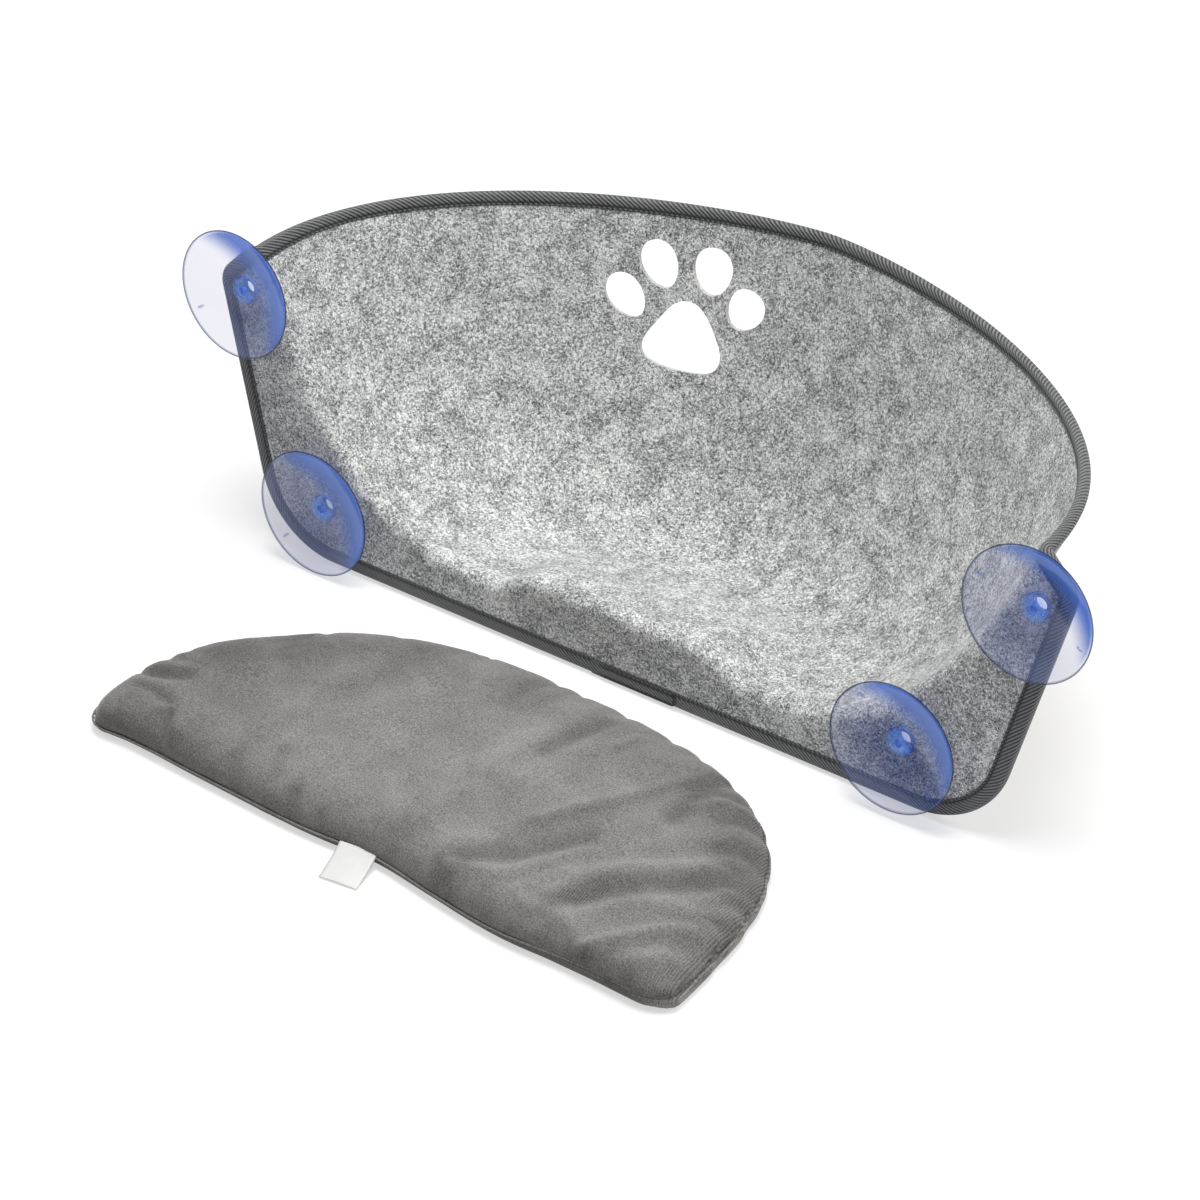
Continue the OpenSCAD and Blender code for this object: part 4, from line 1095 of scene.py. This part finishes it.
# the pile is pressed at the right end, and in one hollow near it that runs at an angle through its middle
press = {"all": 0.1, "right": 0.9, "rightReach": 11, "rightFrom": (60, 90), "hollow": 0.5, "middle": (166, 54),
         "across": (0.60, -0.80), "wide": 9, "long": (170, 45)}
atRight = bell(edge, press["rightReach"]) * rising(evenX, *press["rightFrom"]) * np.clip((evenY - 2) / 14, 0, 1)
hollowLine = bell((even[:, :2] - press["middle"]) @ np.array(press["across"]), press["wide"]) \
    * (np.abs(evenX - press["long"][0]) < press["long"][1])
flattened = press["all"] + atRight * press["right"] + hollowLine * press["hollow"]
addValues(padMesh, nap=np.clip(nap, pile["darkest"], 1), flattened=np.clip(flattened, 0, 1))
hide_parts("cushion_top_cover", "cushion_base_cover", "cushion_filling")
print("cushion made:", len(padMesh.polygons), "faces")

# Its seam: a fine ridge and a row of stitches, sunk between the panels except at the front
ridge = {"step": 3.6, "sink": 2.2, "wide": 0.75, "high": 0.7, "lift": 0.8, "sides": 8, "stitch": (3.1, 0.8, 0.6)}
seamLine = resample(outline, ridge["step"], closed=True)
seamAway = unit(seamLine - middle)
seamRun = unit(np.roll(seamLine, -1, axis=0) - np.roll(seamLine, 1, axis=0))
spots = creased(np.column_stack([seamLine, seamAt(seamLine)]))
spots[:, :2] -= seamAway * 0.1
n = len(spots)
sunk = ridge["sink"] * rising(seamLine[:, 0], 120, 60) + ridge["sink"] * np.clip((seamLine[:, 1] - 20) / 30, 0, 1)
ridgeMid = spots + np.column_stack([seamAway * (ridge["wide"] - sunk)[:, None], np.full(n, ridge["lift"])])
ridgePoints = np.stack([
    ridgeMid + np.column_stack([seamAway * ridge["wide"] * math.cos(a), np.full(n, ridge["high"] * math.sin(a))])
    for a in np.linspace(0, 2 * math.pi, ridge["sides"] + 1)[:-1]], 1).reshape(-1, 3)
seamRidge = addMesh("seamRidge", padToTable(ridgePoints), ringFaces(n, ridge["sides"], closed=True), [greyVelour],
                    "cushion")
# the ridge takes one even value of the velour's painted sheen and shade
addValues(seamRidge.data, nap=[0.6] * len(ridgePoints))
stitchRow("cushionStitches", padToTable(spots), np.column_stack([seamRun @ spin.T, np.zeros(n)]),
          np.column_stack([seamAway @ spin.T, np.zeros(n)]), ridge["stitch"], seamThread, "cushion")

# Label: a bare white ribbon folded once, caught in the seam, its free end resting on the table
label = {"width": 26, "reach": 24, "place": (-6, 4.6), "turn": 9, "thick": 0.28, "across": 14, "along": 16,
         "inSeam": 1.2, "low": 1.0, "rise": 7.2, "arch": 0.5, "foldRadius": 0.33, "curl": 0.35, "lowest": 0.12}
labelTurn = math.radians(label["turn"])
labelAlong = np.array([math.sin(labelTurn), -math.cos(labelTurn)])
labelAcross = np.array([math.cos(labelTurn), math.sin(labelTurn)])
upper = []
for share in np.arange(label["along"] + 1) / label["along"]:  # the upper layer, out and down to the table
    upper.append((-label["inSeam"] + share * (label["reach"] + label["inSeam"] / 2),
                  label["low"] + label["rise"] * (1 - share) ** 1.6 + label["arch"] * math.sin(math.pi * share)))
(tipX, tipZ), r = upper[-1], label["foldRadius"]
path = upper + [(tipX + r * math.sin(a), tipZ - r + r * math.cos(a)) for a in (0.9, 1.6, 2.3)]
path += [(x - 0.1, z - 2 * r * min(1, 0.35 + k / 6)) for k, (x, z) in enumerate(reversed(upper))]
path = np.array(path)
step = unit(np.gradient(path, axis=0))
normal = np.stack([-step[:, 1], step[:, 0]], -1)
ribbonPoints = []
for side in (label["thick"] / 2, -label["thick"] / 2):
    for (x, z), (nx, nz) in zip(path, normal):
        for k in range(label["across"] + 1):
            u = label["width"] * (k / label["across"] - 0.5)
            curl = label["curl"] * math.cos(math.pi * u / label["width"] * 1.7) * min(max(x, 0) / 10, 1)
            flat = label["place"] + labelAlong * (x + side * nx) + labelAcross * u
            ribbonPoints.append((flat[0], flat[1], max(z + side * nz + curl, label["lowest"])))
stride, layer = label["across"] + 1, (label["across"] + 1) * len(path)
corners = [(0, 1, stride + 1, stride), (layer, layer + stride, layer + stride + 1, layer + 1)]
faces = [tuple(r * stride + k + c for c in quad) for r in range(len(path) - 1) for k in range(stride - 1)
         for quad in corners]
ribbonEdge = [r * stride + k for k, r in border(0, stride - 1, 0, len(path) - 1)]
faces += [(b, a, layer + a, layer + b) for a, b in zip(ribbonEdge, ribbonEdge[1:] + ribbonEdge[:1])]
tag = addMesh("bareLabel", padToTable(ribbonPoints), faces, [ribbon], "cushion")
faceOutwards(tag)
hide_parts("cushion_label")

# Camera as in the photograph, soft lamps and a white floor
view = {"azimuth": 39.8178, "elevation": 38.8594, "roll": 5.2542, "lens": 123.711, "sensor": 36, "far": 30,
        "place": (1.230882, -1.488867, 1.615443)}
camera = bpy.data.objects.new("photoCamera", bpy.data.cameras.new("photoCamera"))
scene.collection.objects.link(camera)
camera.data.lens, camera.data.sensor_width, camera.data.clip_end = view["lens"], view["sensor"], view["far"]
turns = [("Z", view["azimuth"]), ("X", 90 - view["elevation"]), ("Z", -view["roll"])]
camera.matrix_world = Matrix.Translation(view["place"])
for axis, degrees in turns:
    camera.matrix_world @= Matrix.Rotation(math.radians(degrees), 4, axis)
scene.camera = camera

# Lamps: place and power, both discs of the same size that shine on the perch; metres and watts
lamps = {"overhead": ((0, 0.2, 2.2), 48), "backRight": ((1.4, 0.9, 1.6), 15)}
lampSize, lampAim = 1.2, Vector((0, 0, 0.08))
for name, (place, power) in lamps.items():
    lamp = bpy.data.lights.new(name, "AREA")
    lamp.shape, lamp.size, lamp.energy = "DISK", lampSize, power
    holder = bpy.data.objects.new(name, lamp)
    scene.collection.objects.link(holder)
    holder.location = place
    holder.rotation_euler = (lampAim - Vector(place)).to_track_quat("-Z", "Y").to_euler()


def seenRays(tree):  # 1 for rays that show the thing itself, 0 for those that light other things
    rays = addNode(tree, "ShaderNodeLightPath").node.outputs
    seen = maths(tree, "MAXIMUM", rays["Is Camera Ray"], rays["Is Glossy Ray"])
    return maths(tree, "MAXIMUM", seen, rays["Is Transmission Ray"])


# The room and the paper are white where they are seen, and paler or darker where they only light other things
room = {"light": 0.26, "paper": 0.86, "paperSeen": 0.44, "paperGlow": 0.58, "paperSize": 14, "paperDrop": 0.0005}
world = bpy.data.worlds.new("paleRoom")
scene.world = world
world.use_nodes = True
tree = world.node_tree
tree.nodes.clear()
strength = ranged(tree, seenRays(tree), 0, 1, room["light"], 1)
sky = addNode(tree, "ShaderNodeBackground", {"Color": (1, 1, 1, 1), "Strength": strength})
addNode(tree, "ShaderNodeOutputWorld", {"Surface": sky})

# White studio sweep, matt: plain white to the camera with the object's soft shadow kept
material, tree = startMaterial("studioPaper", Roughness=1.0, Specular_IOR_Level=0.0)
seen = seenRays(tree)
dressed(material, ranged(tree, seen, 0, 1, room["paper"], room["paperSeen"]))
glow = maths(tree, "MULTIPLY", seen, room["paperGlow"])
paper = addNode(tree, "ShaderNodeEmission", {"Color": (1, 1, 1, 1), "Strength": glow})
both = addNode(tree, "ShaderNodeAddShader", {0: tree.nodes["Principled BSDF"].outputs[0], 1: paper})
tree.links.new(both, tree.nodes["Material Output"].inputs[0])
bpy.ops.mesh.primitive_plane_add(size=room["paperSize"], location=(0, 0, -room["paperDrop"]))
paperSheet = bpy.context.object
paperSheet.name = "studioFloor"
paperSheet.data.materials.append(material)
